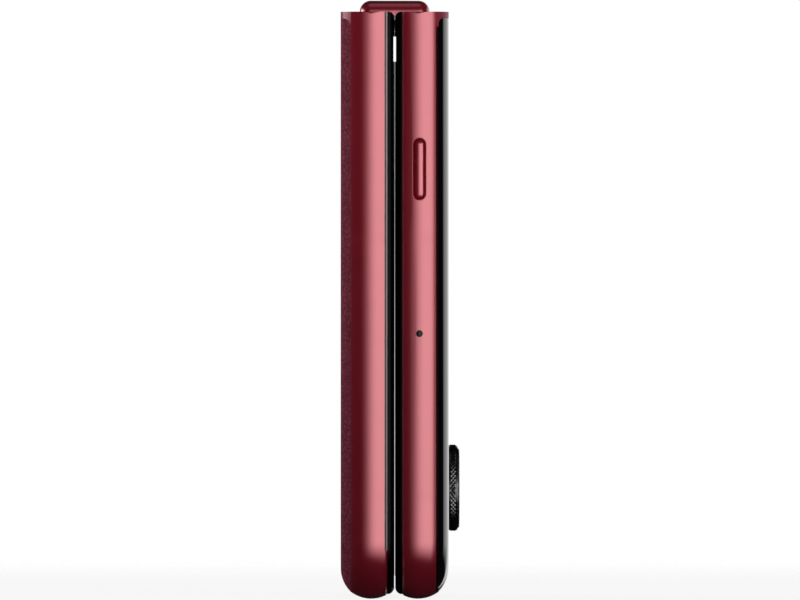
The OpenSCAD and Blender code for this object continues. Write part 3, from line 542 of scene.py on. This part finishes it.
PLATE = Finish("brushed support sheet", (0.5, 0.5, 0.52), (0.45, 0.45, 0.47), Grain.BRUSHED,
               pitch=0.08, relief=0.002, metallic=1, roughness=0.36)
FOIL = Finish("black foil pouch", (0.05, 0.05, 0.055), (0.035, 0.035, 0.04), Grain.CRINKLED,
              pitch=4, relief=0.05, metallic=0.4, roughness=0.34)
BOARD = BoardFinish("green solder mask", (0.014, 0.09, 0.042), (0.012, 0.08, 0.038), Grain.MOULDED,
                    pitch=0.3, relief=0.03, roughness=0.35)
GOLD = Finish("gold plating", (0.78, 0.56, 0.22), (0.72, 0.5, 0.19), Grain.BRUSHED, pitch=0.05,
              relief=0.001, metallic=1, roughness=0.24)
TIN = Finish("tinned shield", (0.6, 0.6, 0.6), (0.53, 0.53, 0.54), Grain.PUNCHED, pitch=1.1,
             relief=0.08, metallic=1, roughness=0.33)
BLACK_PLASTIC = Finish("moulded black plastic", (0.028, 0.028, 0.03), (0.022, 0.022, 0.024),
                       Grain.MOULDED, pitch=0.12, relief=0.006, roughness=0.5)
BLACK_METAL = Finish("black anodised metal", (0.018, 0.018, 0.02), (0.013, 0.013, 0.015),
                     Grain.BLASTED, pitch=0.05, relief=0.001, metallic=0.5, roughness=0.34,
                     specular=0.4)
KNURL = Finish("knurled black metal", (0.17, 0.17, 0.175), (0.14, 0.14, 0.145), Grain.BLASTED,
               pitch=0.05, relief=0.001, metallic=1, roughness=0.2)
LENS_GLASS = Finish("coated lens window", (0.93, 0.94, 0.96), (0.9, 0.92, 0.95), Grain.POLISHED,
                    pitch=8, relief=0.0002, roughness=0.03, rough_spread=0.01, transmission=1,
                    coat=0.6, coat_ior=1.8, coat_roughness=0.02)
LENS = Finish("coated lens", (0.012, 0.014, 0.035), (0.02, 0.01, 0.04), Grain.POLISHED, pitch=4,
              relief=0.0001, roughness=0.04, rough_spread=0.01, coat=1, coat_ior=1.9,
              coat_roughness=0.02)
FROST = Finish("frosted flash lens", (0.8, 0.77, 0.62), (0.74, 0.7, 0.52), Grain.MOULDED,
               pitch=0.2, relief=0.01, roughness=0.35, specular=0.6)


# ---- shaping ----


def edges_at(verts: list[Vert]) -> list[Edge]:
    """The edges that meet at vertices."""
    return list({edge for vert in verts for edge in vert.link_edges})


def edges_in(geom: list[Vert | Edge]) -> list[Edge]:
    """The edges among vertices and edges."""
    return [each for each in geom if isinstance(each, Edge)]


class Sculpt:
    """A mesh on the way, and what turns it into a piece of the phone."""

    def __init__(self, name: str) -> None:
        """Starts an empty mesh for the piece called name."""
        self.name = name
        self.bm = bmesh.new()

    def line(self, points: list[Vector]) -> list[Vert]:
        """Draws a line of edges.

        Args:
            points: Its corners, in metres.

        Returns:
            Its vertices.
        """
        made = bmesh.ops.create_vert(self.bm, co=points[0])["vert"]
        for point in points[1:]:
            grown = bmesh.ops.extrude_vert_indiv(self.bm, verts=made[-1:])["verts"]
            bmesh.ops.translate(self.bm, verts=grown, vec=point - made[-1].co)
            made += grown
        return made

    def grow(self, edges: list[Edge], move: Triple) -> list[Vert | Edge]:
        """Extrudes edges into faces.

        Args:
            edges: The edges to extrude.
            move: How far they go, in metres.

        Returns:
            The new vertices and edges.
        """
        grown = [each for each in bmesh.ops.extrude_edge_only(self.bm, edges=edges)["geom"]
                 if not isinstance(each, Face)]
        bmesh.ops.translate(self.bm, vec=move, verts=[each for each in grown
                                                      if isinstance(each, Vert)])
        return grown

    def spun(self, profile: Sequence[Pair], steps: int) -> None:
        """Turns a profile about the Z axis into a closed skin.

        Args:
            profile: Radius and height of its corners in millimetres.
            steps: Number of steps round.
        """
        verts = self.line([Vector((radius * MM, 0, height * MM)) for radius, height in profile])
        bmesh.ops.spin(self.bm, geom=verts + edges_at(verts), axis=(0, 0, 1), cent=(0, 0, 0),
                       angle=FULL_TURN, steps=steps, use_merge=True)
        bmesh.ops.remove_doubles(self.bm, verts=self.bm.verts, dist=TOUCH)

    def pill(self, length: float, width: float, steps: int) -> Face:
        """Draws a flat face with round ends, length along X, both in millimetres."""
        ring = bmesh.ops.create_circle(self.bm, cap_ends=True, segments=steps,
                                       radius=width / 2 * MM,
                                       matrix=Matrix.Rotation(math.pi / steps, 4, "Z"))["verts"]
        run = (length - width) / 2 * MM
        for way in (-1, 1):
            bmesh.ops.translate(self.bm, vec=(way * run, 0, 0),
                                verts=[vert for vert in ring if vert.co.x * way > 0])
        return ring[0].link_faces[0]

    def terrace(self, face: Face, steps: list[Pair]) -> None:
        """Shapes a face by insets.

        Args:
            face: The face to shape.
            steps: For each inset, how far in and how far up, in millimetres.
        """
        for inward, up in steps:
            bmesh.ops.inset_individual(self.bm, faces=[face], thickness=inward * MM,
                                       depth=up * MM, use_even_offset=True)

    def block(self, low: Vector, high: Vector, edge: float) -> None:
        """Adds a box between two corners, with edges bevelled by edge metres."""
        middle, size = (low + high) / 2, high - low
        made = bmesh.ops.create_cube(self.bm, size=1, matrix=Matrix.Translation(middle)
                                     @ Matrix.Diagonal((*size, 1)))["verts"]
        bmesh.ops.bevel(self.bm, geom=edges_at(made), offset=edge, segments=2, profile=0.5,
                        affect="EDGES", material=-1, clamp_overlap=True)

    def add_to(self, other: "Sculpt", place: Matrix) -> None:
        """Moves this mesh into another one, at a place."""
        bmesh.ops.transform(self.bm, matrix=place, verts=self.bm.verts)
        spare = bpy.data.meshes.new("spare")
        self.bm.to_mesh(spare)
        self.bm.free()
        other.bm.from_mesh(spare)
        bpy.data.meshes.remove(spare)

    def cap(self) -> None:
        """Closes every open loop of edges with a face."""
        bmesh.ops.holes_fill(self.bm, edges=self.bm.edges, sides=0)

    def placed(self) -> bpy.types.Object:
        """Turns the mesh into an object of the scene.

        Returns:
            The new object.
        """
        data = bpy.data.meshes.new(self.name)
        self.bm.to_mesh(data)
        self.bm.free()
        made = bpy.data.objects.new(self.name, data)
        bpy.context.scene.collection.objects.link(made)
        return made

    def piece(self, body: str, finish: Finish, place: Matrix | None = None,
              sharp: float = 30, stands_for: tuple[str, ...] = (),
              free: bool = False) -> bpy.types.Object:
        """Finishes the mesh as a piece.

        Args:
            body: The CAD body it rides on.
            finish: Its finish.
            place: Where the mesh goes, as a transform of its vertices.
            sharp: Edges that turn by more degrees than this stay sharp.
            stands_for: CAD nodes that it replaces.
            free: True if it crosses a joint and so rides on no body.

        Returns:
            The new object.
        """
        if place is not None:
            bmesh.ops.transform(self.bm, matrix=place, verts=self.bm.verts)
        bmesh.ops.recalc_face_normals(self.bm, faces=self.bm.faces)
        made = self.placed()
        made.data.shade_smooth()
        made.data.set_sharp_from_angle(angle=math.radians(sharp))
        finish.on(made)
        if not free:
            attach(made, body)
        if stands_for:
            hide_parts(*stands_for)
        LOG.info("%s: %d faces, %s", self.name, len(made.data.polygons), finish.name)
        return made


def centre(node: str) -> Vector:
    """The middle of a CAD node's box, in metres."""
    low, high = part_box(node)
    return (Vector(low) + Vector(high)) / 2


# ---- sub-assemblies ----


@dataclass
class Hinge:
    """The hinge's axes and the strip of display that folds round them; millimetres."""

    seam: float = -0.85
    offset: float = 0.95
    height: float = 85.58
    fold_height: float = 7
    mid_depth: float = 0.53
    film: float = 0.3
    half_width: float = 33.5
    lean: float = 60
    steps: int = 40
    rim_share: float = 0.004
    rim_run: float = 0.03
    bar_r: float = 1.64
    bar_wall: float = 0.3
    end_run: float = 2.2
    bar_steps: int = 14
    bar_reach: float = 3.5
    plate_r: float = 0.84
    plate_t: float = 0.42
    plate_out: float = 34.85
    plate_foot: float = 0.4
    plate_level: float = 86.45
    ear_r: float = 0.8
    pin_r: float = 0.4

    def fold_bounds(self) -> Pair:
        """Where the fold starts and ends, along its leaning axis from the hinge axis."""
        across, up = math.sin(math.radians(self.lean)), math.cos(math.radians(self.lean))
        reach = self.offset - self.mid_depth
        return reach * across - self.fold_height * up, self.offset * across - reach * up

    def fold_point(self, share: float) -> Pair:
        """A point of the folded display's middle line.

        Args:
            share: 0 at its rigid edge, 1 at the seam.

        Returns:
            Its depth from the seam and its height.
        """
        across, up = math.sin(math.radians(self.lean)), math.cos(math.radians(self.lean))
        reach = self.offset - self.mid_depth
        first, last = self.fold_bounds()
        turn = math.pi / 2 * share * share * (3 - 2 * share)
        cos, sin = math.cos(turn), math.sin(turn)
        along = ((first + share * (last - first) - reach * (cos * across - sin * up))
                 / (sin * across + cos * up))
        return (self.offset - reach * cos - along * sin,
                self.height - reach * sin + along * cos)

    def build_fold(self, side: Side) -> bpy.types.Object:
        """Builds one half of the folding strip, as it lies in the shut phone."""
        sculpt = Sculpt(f"{side.name.lower()}_fold_film")
        line = []
        shares = [step / self.steps for step in range(self.steps + 1)]
        for share in (0, self.rim_share, *shares[1:-1], 1 - self.rim_share, 1):
            depth, height = self.fold_point(share)
            line.append(Vector(((self.seam + side.value * depth) * MM, -self.half_width * MM,
                                height * MM)))
        edges = edges_at(sculpt.line(line))
        for run in (self.rim_run, 2 * (self.half_width - self.rim_run), self.rim_run):
            edges = [each for each in edges_in(sculpt.grow(edges, (0, run * MM, 0)))
                     if abs(each.verts[0].co.y - each.verts[1].co.y) < TOUCH]
        half = f"{side.name.lower()}_half"
        made = sculpt.piece(half, DISPLAY, sharp=60, stands_for=("display_fold",),
                            free=True)
        wall = made.modifiers.new("film", "SOLIDIFY")
        wall.thickness, wall.offset = self.film * MM, 0
        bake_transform(made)
        return made

    def bar_skin(self, sculpt: Sculpt, radius: float, half: float) -> list[Edge]:
        """Builds one skin of the spine's bar, open below, with ends rounded as half an oval.

        Args:
            sculpt: The mesh to add it to.
            radius: Radius of its long edges.
            half: Half its length.

        Returns:
            The edges of its open loop.
        """
        low, high = (Vector(corner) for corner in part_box("spine_cover"))
        axis_z = high.z - self.bar_r * MM
        reach = (high.x - low.x) / 2 - self.bar_r * MM
        centre_x = (high.x + low.x) / 2
        turns = [math.pi / 2 * step / self.bar_steps for step in range(self.bar_steps + 1)]
        arc = [(radius * math.sin(turn), half - self.end_run * (1 - math.cos(turn)))
               for turn in turns]
        outline = arc + [(out, -along) for out, along in arc[::-1]]
        before = set(sculpt.bm.verts)
        line = sculpt.line([Vector((centre_x + reach + out * MM, along * MM, axis_z))
                            for out, along in outline])
        geom = line + edges_at(line)
        for way in (1, -1):
            geom = bmesh.ops.spin(sculpt.bm, geom=geom, axis=(0, -1, 0), angle=math.pi / 2,
                                  cent=(centre_x + way * reach, 0, axis_z),
                                  steps=self.bar_steps)["geom_last"]
            if way > 0:
                geom = sculpt.grow(edges_in(geom), (-2 * reach, 0, 0))
        mine = [vert for vert in sculpt.bm.verts if vert not in before]
        bmesh.ops.remove_doubles(sculpt.bm, verts=mine, dist=TOUCH)
        rim = [edge for edge in sculpt.bm.edges if edge.is_boundary
               and all(abs(vert.co.z - axis_z) < 1e-6 for vert in edge.verts)]
        return [each for each in edges_in(sculpt.grow(rim, (0, 0, low.z - axis_z)))
                if each.is_boundary]

    def build_cover(self) -> None:
        """Builds the spine's cover: a shell with rounded edges and well-rounded ends."""
        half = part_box("spine_cover")[1][1] / MM
        sculpt = Sculpt("spine_bar")
        loops = self.bar_skin(sculpt, self.bar_r, half)
        loops += self.bar_skin(sculpt, self.bar_r - self.bar_wall, half - self.bar_wall)
        bmesh.ops.bridge_loops(sculpt.bm, edges=loops)
        sculpt.piece("hinge_spine", ANODISED, sharp=35,
                     stands_for=("spine_cover",))

    def build_end_plates(self) -> None:
        """Builds the steel plates in the spine's ends, with eyes round the hinge pins."""
        sculpt = Sculpt("hinge_end_plates")
        stand = Matrix(((1, 0, 0), (0, 0, 1), (0, 1, 0))).to_4x4()
        for way in (-1, 1):
            plate = Sculpt("plate")
            face = plate.pill(2 * (self.bar_reach + self.plate_r), 2 * self.plate_r, 48)
            plate.terrace(face, [(0, self.plate_t)])
            plate.cap()
            bmesh.ops.bisect_plane(plate.bm, geom=plate.bm.verts[:] + plate.bm.edges[:]
                                   + plate.bm.faces[:], plane_no=(0, 1, 0), clear_inner=True,
                                   plane_co=(0, (self.height + self.plate_foot
                                                 - self.plate_level) * MM, 0))
            plate.cap()
            start = self.plate_out - self.plate_t if way > 0 else -self.plate_out
            plate.add_to(sculpt, Matrix.Translation(
                Vector((self.seam, start, self.plate_level)) * MM) @ stand)
            for side in Side:
                eye = Sculpt("eye")
                eye.spun([(self.pin_r, 0), (self.ear_r, 0), (self.ear_r, self.plate_t),
                          (self.pin_r, self.plate_t), (self.pin_r, 0)], 40)
                eye.add_to(sculpt, Matrix.Translation(
                    Vector((self.seam + side.value * self.offset, start, self.height)) * MM)
                    @ stand)
        sculpt.piece("hinge_spine", STEEL, stands_for=("spine_end_plates",))

    def dress(self) -> None:
        """Puts finishes on the hinge's CAD nodes."""
        STEEL.on_nodes("spine_base", "hinge_pins", "detent_springs",
                       "lower_hinge_arms", "upper_hinge_arms")
        PLATE.on_nodes("lower_wing_plate", "upper_wing_plate")

    def build(self) -> None:
        """Builds the cover and the fold, and dresses the rest."""
        self.dress()
        self.build_cover()
        self.build_end_plates()
        for side in Side:
            self.build_fold(side)


@dataclass
class RimBead:
    """Soft bead on a rim's face, proud enough near the hinge to close the seam; mm."""

    seam: float = -0.85
    inner: float = 33.5
    outer: float = 35
    root: float = 0.1
    foot: float = 3.5
    notch: Pair = (79.1, 83.6)
    top: float = 85.2
    gap_foot: float = 0.036
    gap_top: float = 0.005

    def build(self, side: Side) -> None:
        """Builds the beads of one half, on both sides of the phone."""
        sculpt = Sculpt(f"{side.name.lower()}_rim_bead")
        near = self.gap_foot * MM
        for way in (-1, 1):
            for low, high in ((self.foot, self.notch[0]), (self.notch[1], self.top)):
                widths = sorted((way * self.inner, way * self.outer))
                sculpt.block(Vector((near, widths[0] * MM, low * MM)),
                             Vector((self.root * MM, widths[1] * MM, high * MM)), 0.01 * MM)
        for vert in sculpt.bm.verts:
            share = min(1, vert.co.z / (self.notch[0] * MM))
            face = (self.gap_foot + share * (self.gap_top - self.gap_foot)) * MM
            vert.co.x = self.seam * MM + side.value * (vert.co.x - near + face)
        sculpt.piece(f"{side.name.lower()}_half", RIM)


@dataclass
class LowerHalf:
    """The leather side, with the port, the tray and the loudspeaker; millimetres."""

    contacts: int = 12
    contact_pitch: float = 0.5
    contact_size: Pair = (0.3, 3.6)
    contact_lift: float = 0.02
    contact_start: float = 2.6
    tongue_half: float = 0.35

    def dress(self) -> None:
        """Puts finishes on the CAD nodes of this half."""
        LOWER_RAIL.on_nodes("lower_frame")
        LEATHER.on_nodes("lower_back_cover")
        RIM.on_nodes("lower_rim")
        DISPLAY.on_nodes("lower_display")
        PLATE.on_nodes("lower_display_plate")
        LOWER_BREAK.on_nodes("lower_antenna_breaks")
        FOIL.on_nodes("lower_battery")
        BOARD.on_nodes("lower_board")
        STEEL.on_nodes("usb_port", "vibration_motor", "lower_screws")
        BLACK_PLASTIC.on_nodes("loudspeaker")
        KEY_RED.on_nodes("sim_tray")
        GOLD.on_nodes("sim_card")

    def build_contacts(self) -> None:
        """Rows of contacts on both faces of the port's tongue."""
        middle = centre("usb_port")
        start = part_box("usb_port")[0][2] + self.contact_start * MM
        sculpt = Sculpt("port_contacts")
        width, length = (size * MM for size in self.contact_size)
        for face in (-1, 1):
            level = middle.x + face * self.tongue_half * MM
            levels = sorted((level, level + face * self.contact_lift * MM))
            for place in range(self.contacts):
                across = (place - (self.contacts - 1) / 2) * self.contact_pitch * MM
                sculpt.block(Vector((levels[0], across - width / 2, start)),
                             Vector((levels[1], across + width / 2, start + length)), 0.005 * MM)
        sculpt.piece("lower_half", GOLD)

    def build(self) -> None:
        """Builds and dresses this half."""
        self.dress()
        self.build_contacts()


@dataclass
class UpperHalf:
    """The glass side, with its boards, cameras' modules and keys' switches."""

    def build(self) -> None:
        """Puts finishes on the CAD nodes of this half."""
        UPPER_RAIL.on_nodes("upper_frame")
        GLASS.on_nodes("cover_glass")
        PANEL.on_nodes("cover_display")
        RIM.on_nodes("upper_rim")
        DISPLAY.on_nodes("upper_display")
        PLATE.on_nodes("upper_display_plate")
        UPPER_BREAK.on_nodes("upper_antenna_breaks")
        FOIL.on_nodes("upper_battery")
        BOARD.on_nodes("main_board")
        TIN.on_nodes("board_shield")
        BLACK_METAL.on_nodes("main_camera_module", "wide_camera_module")
        BLACK_PLASTIC.on_nodes("selfie_camera", "earpiece")
        FROST.on_nodes("flash_lamp")
        GOLD.on_nodes("key_switches")
        STEEL.on_nodes("upper_screws")


@dataclass
class Camera:
    """A knurled ring, its lens window and the lens under it; millimetres."""

    name: str
    ring_r: float = 6.4
    window_r: float = 5.975
    ring_h: float = 1.4
    window_h: float = 0.3
    bore_r: float = 5.425
    edge: float = 0.2
    knurl_steps: int = 120
    knurl_rows: int = 4
    knurl_depth: float = 0.1
    neck: float = 1.7
    flange_in: float = 0.6
    slack: float = 0.01
    mount: tuple[Pair, ...] = (
        (5.2, -0.22), (5.2, -0.1), (3.75, -0.1), (3.6, -0.3), (3.2, -0.3), (3.1, -0.6),
        (2.6, -0.6), (2.5, -0.8), (2.1, -0.8), (2.1, -1.0), (3.0, -1.0), (3.9, -0.22),
        (5.2, -0.22))
    lens_r: float = 2.2
    lens_rise: float = 0.45
    lens_back: float = 0.15
    lens_down: float = 1.05

    def at(self, height: float) -> Matrix:
        """Stands a shape drawn along Z on the camera's axis, height mm from the glass."""
        node = f"{self.name}_camera_ring"
        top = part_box(node)[1][0]
        middle = centre(node)
        glass = top - self.ring_h * MM
        return (Matrix.Translation((glass + height * MM, middle.y, middle.z))
                @ Matrix.Rotation(math.pi / 2, 4, "Y"))

    def build_ring(self) -> None:
        """Builds the ring, with a diamond knurl round its wall."""
        inner = self.ring_r - self.knurl_depth
        low, high = self.edge, self.ring_h - self.edge
        wall = [(inner, low + (high - low) * row / self.knurl_rows)
                for row in range(self.knurl_rows + 1)]
        flange = self.ring_r - self.flange_in
        profile = ([(self.bore_r, -self.neck), (flange, -self.neck), (flange, 0),
                    (self.ring_r - self.edge, 0)] + wall
                   + [(self.ring_r - self.edge, self.ring_h), (self.bore_r, self.ring_h),
                      (self.bore_r, -self.neck)])
        sculpt = Sculpt(f"{self.name}_knurled_ring")
        sculpt.spun(profile, self.knurl_steps)
        step_h = (high - low) / self.knurl_rows * MM
        for vert in sculpt.bm.verts:
            row = round((vert.co.z - low * MM) / step_h)
            reach = vert.co.xy.length
            if 0 < row < self.knurl_rows and reach > (inner - self.slack) * MM:
                turn = round(math.atan2(vert.co.y, vert.co.x) / FULL_TURN * self.knurl_steps)
                if (row + turn) % 2:
                    vert.co.xy *= self.ring_r * MM / reach
        knurled = [face for face in sculpt.bm.faces
                   if all(vert.co.xy.length > (inner - self.slack) * MM for vert in face.verts)]
        bmesh.ops.triangulate(sculpt.bm, faces=knurled, quad_method="SHORT_EDGE")
        sculpt.piece("upper_half", KNURL, self.at(0), sharp=12,
                     stands_for=(f"{self.name}_camera_ring",))

    def build_window(self) -> None:
        """Builds the lens window, with a rounded edge."""
        turns = [math.radians(15 * step) for step in range(7)]
        edge = [(self.window_r - self.window_h * (1 - math.cos(turn)),
                 self.window_h * math.sin(turn)) for turn in turns]
        sculpt = Sculpt(f"{self.name}_lens_window")
        sculpt.spun([(0, 0), *edge, (0, self.window_h)], 96)
        sculpt.piece("upper_half", LENS_GLASS, self.at(self.ring_h),
                     stands_for=(f"{self.name}_camera_window",))

    def build_lens(self) -> None:
        """Builds the stepped mount and the domed front lens in the module's cup."""
        mount = Sculpt(f"{self.name}_lens_mount")
        mount.spun(self.mount, 96)
        mount.piece("upper_half", BLACK_METAL, self.at(self.ring_h), sharp=20)
        lens = Sculpt(f"{self.name}_front_lens")
        rise, base = self.lens_rise, self.lens_r
        ball = (base ** 2 + rise ** 2) / (2 * rise)
        dome = [(base * share, math.sqrt(ball ** 2 - (base * share) ** 2) - ball + rise)
                for share in (step / 12 for step in range(13))]
        lens.spun([(0, -self.lens_back), (base, -self.lens_back)] + dome[::-1], 64)
        lens.piece("upper_half", LENS, self.at(self.ring_h - self.lens_down))

    def build(self) -> None:
        """Builds the ring, the window and the lens."""
        self.build_ring()
        self.build_window()
        self.build_lens()


@dataclass
class Key:
    """A pill-shaped key in a side rail: sloped shoulders round a crowned middle; mm."""

    node: str
    side: int
    length: float
    width: float
    shoulder: float = 0.5
    drop: float = 0.88
    crown: float = 0.1
    crown_steps: int = 6
    lap: float = 0.45

    def build(self) -> None:
        """Builds the key and its flange behind the rail."""
        low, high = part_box(self.node)
        sculpt = Sculpt(f"{self.node}_cap")
        flange = sculpt.pill(self.length + 2 * self.lap, self.width + 2 * self.lap, 64)
        sculpt.terrace(flange, [(0, self.lap), (self.lap, 0)])
        half = self.width / 2 - self.shoulder
        total = (self.crown_steps + 1) / 2
        crown = [(half * 0.15, self.crown * (1 - step / self.crown_steps) / total)
                 for step in range(self.crown_steps)]
        edges = [(0.04, 0.02), (self.shoulder - 0.14, self.drop), (0.04, 0.05), (0.06, 0.03)]
        rise = (high[1] - low[1]) / MM - self.lap - sum(up for _, up in edges + crown)
        sculpt.terrace(flange, [(0, rise), *edges, *crown])
        sculpt.cap()
        middle = centre(self.node)
        inner = low[1] if self.side > 0 else high[1]
        turn = Matrix(((0, self.side, 0), (0, 0, self.side), (1, 0, 0))).to_4x4()
        sculpt.piece(self.node, KEY_RED,
                     Matrix.Translation((middle.x, inner, middle.z)) @ turn, sharp=24,
                     stands_for=(self.node,))


# ---- studio ----


@dataclass
class Studio:
    """Camera, floor and soft light at the photograph's angle."""

    lens: float = 1004
    distance: float = 3.317
    eye: Pair = (-0.00085, 0.04404)
    shift: float = 0.0066
    sensor: float = 36
    clip_end: float = 50
    floor_r: float = 0.5
    floor: Colour = (0.5, 0.5, 0.5)
    floor_shade: Colour = (0.52, 0.52, 0.52)
    floor_glow: float = 0.88
    fill: float = 0.008
    power: float = 1.9

    def build_camera(self) -> None:
        """Puts the camera square to the side of the phone."""
        data = bpy.data.cameras.new("side_view")
        data.lens, data.sensor_width, data.shift_x = self.lens, self.sensor, self.shift
        data.clip_end = self.clip_end
        camera = bpy.data.objects.new("side_view", data)
        camera.location = (self.eye[0], -self.distance, self.eye[1])
        camera.rotation_euler = (math.pi / 2, 0, 0)
        bpy.context.scene.collection.objects.link(camera)
        bpy.context.scene.camera = camera

    def build_world(self) -> None:
        """Soft boxes all round, as bands of azimuth and height, and white behind them all."""
        world = bpy.data.worlds.new("studio")
        bpy.context.scene.world = world
        world.use_nodes = True
        nodes = NodeTree(world.node_tree, "Generated")
        degrees = 360 / FULL_TURN
        azimuth = nodes.math("MULTIPLY", nodes.math(
            "ARCTAN2", nodes.axis("X"), nodes.math("MULTIPLY", nodes.axis("Y"), -1.0)), degrees)
        height = nodes.math("MULTIPLY", nodes.math("ARCSINE", nodes.axis("Z")), degrees)
        boxes = ((1, [(-30, 0), (-18, .14), (-9, .36), (0, .66), (10, .9), (20, 1), (50, 1),
                      (57, 0)], [(-40, 0), (-10, 1), (7, 1), (20, .14), (36, 0)]),
                 (2, [(-144, 0), (-128, 1), (-98, 1), (-86, 0)],
                  [(-30, 0), (-8, 1), (6, 1), (18, 0)]),
                 (1, [(112, 0), (119, .48), (150, .48), (179, .44)],
                  [(-14, 0), (-3, 1), (10, 1), (22, 0)]))
        glow = nodes.curve(height, [(62, 0), (80, .12), (89, .12)], 90)
        for bright, around, up in boxes:
            box = nodes.math("MULTIPLY", nodes.curve(azimuth, around, 180),
                             nodes.curve(height, up, 90))
            glow = nodes.math("MULTIPLY_ADD", box, float(bright), glow)
        level = nodes.math("MULTIPLY_ADD", glow, self.power, self.fill)
        behind = nodes.node("ShaderNodeLightPath").outputs["Is Glossy Ray"]
        for axis, test, bound in (("Y", "GREATER_THAN", 0.85), ("X", "GREATER_THAN", 0.35),
                                  ("Z", "LESS_THAN", 0.1)):
            behind = nodes.math("MULTIPLY", behind, nodes.math(test, nodes.axis(axis), bound))
        white = nodes.math("MAXIMUM", nodes.seen(), behind)
        background = nodes.tree.nodes["Background"].inputs
        background["Color"].default_value = (1, 1, 1, 1)
        nodes.feed(background["Strength"], nodes.math(
            "MULTIPLY_ADD", nodes.math("SUBTRACT", 1.0, white), level, white))

    def build_floor(self) -> None:
        """A pale floor that fades into the backdrop and keeps the phone's shadow."""
        sculpt = Sculpt("floor")
        bmesh.ops.create_circle(sculpt.bm, cap_ends=True, segments=96, radius=self.floor_r)
        bmesh.ops.translate(sculpt.bm, verts=sculpt.bm.verts, vec=(0, 0, -0.00005))
        floor = sculpt.placed()
        nodes = MaterialTree("pale floor")
        nodes.put("Roughness", 0.9)
        nodes.put("Specular IOR Level", 0)
        nodes.put("Base Color", nodes.mix(nodes.ramp(nodes.noise(40), 0.3, 0.7), self.floor,
                                          self.floor_shade))
        glow = nodes.node("ShaderNodeEmission")
        glow.inputs["Color"].default_value = (1, 1, 1, 1)
        nodes.feed(glow.inputs["Strength"],
                   nodes.math("MULTIPLY", nodes.seen(), self.floor_glow))
        share = nodes.node("ShaderNodeAddShader")
        nodes.feed(share.inputs[0], nodes.shader.outputs["BSDF"])
        nodes.feed(share.inputs[1], glow.outputs["Emission"])
        far = nodes.node("ShaderNodeVectorMath", operation="LENGTH")
        nodes.feed(far.inputs[0], nodes.place)
        fade = nodes.node("ShaderNodeMixShader")
        nodes.feed(fade.inputs["Fac"],
                   nodes.ramp(far.outputs["Value"], self.floor_r * 0.3, self.floor_r * 0.98))
        nodes.feed(fade.inputs[1], share.outputs["Shader"])
        nodes.feed(fade.inputs[2], nodes.node("ShaderNodeBsdfTransparent").outputs["BSDF"])
        nodes.feed(nodes.tree.nodes["Material Output"].inputs["Surface"],
                   fade.outputs["Shader"])
        floor.data.materials.append(nodes.material)
        floor.visible_glossy = False

    def build(self) -> None:
        """Builds the whole studio."""
        bpy.context.scene.view_settings.view_transform = "Standard"
        self.build_camera()
        self.build_world()
        self.build_floor()


def main() -> None:
    """Builds the studio and every sub-assembly in order."""
    logging.basicConfig(level=logging.INFO, format="%(name)s: %(message)s")
    Studio().build()
    Hinge().build()
    for side in Side:
        RimBead().build(side)
    LowerHalf().build()
    UpperHalf().build()
    for name in ("main", "wide"):
        Camera(name).build()
    for key in (Key("side_key", -1, 9.15, 1.92), Key("power_button", 1, 12, 2),
                Key("volume_rocker", 1, 20, 2)):
        key.build()


if __name__ == "__main__":
    main()
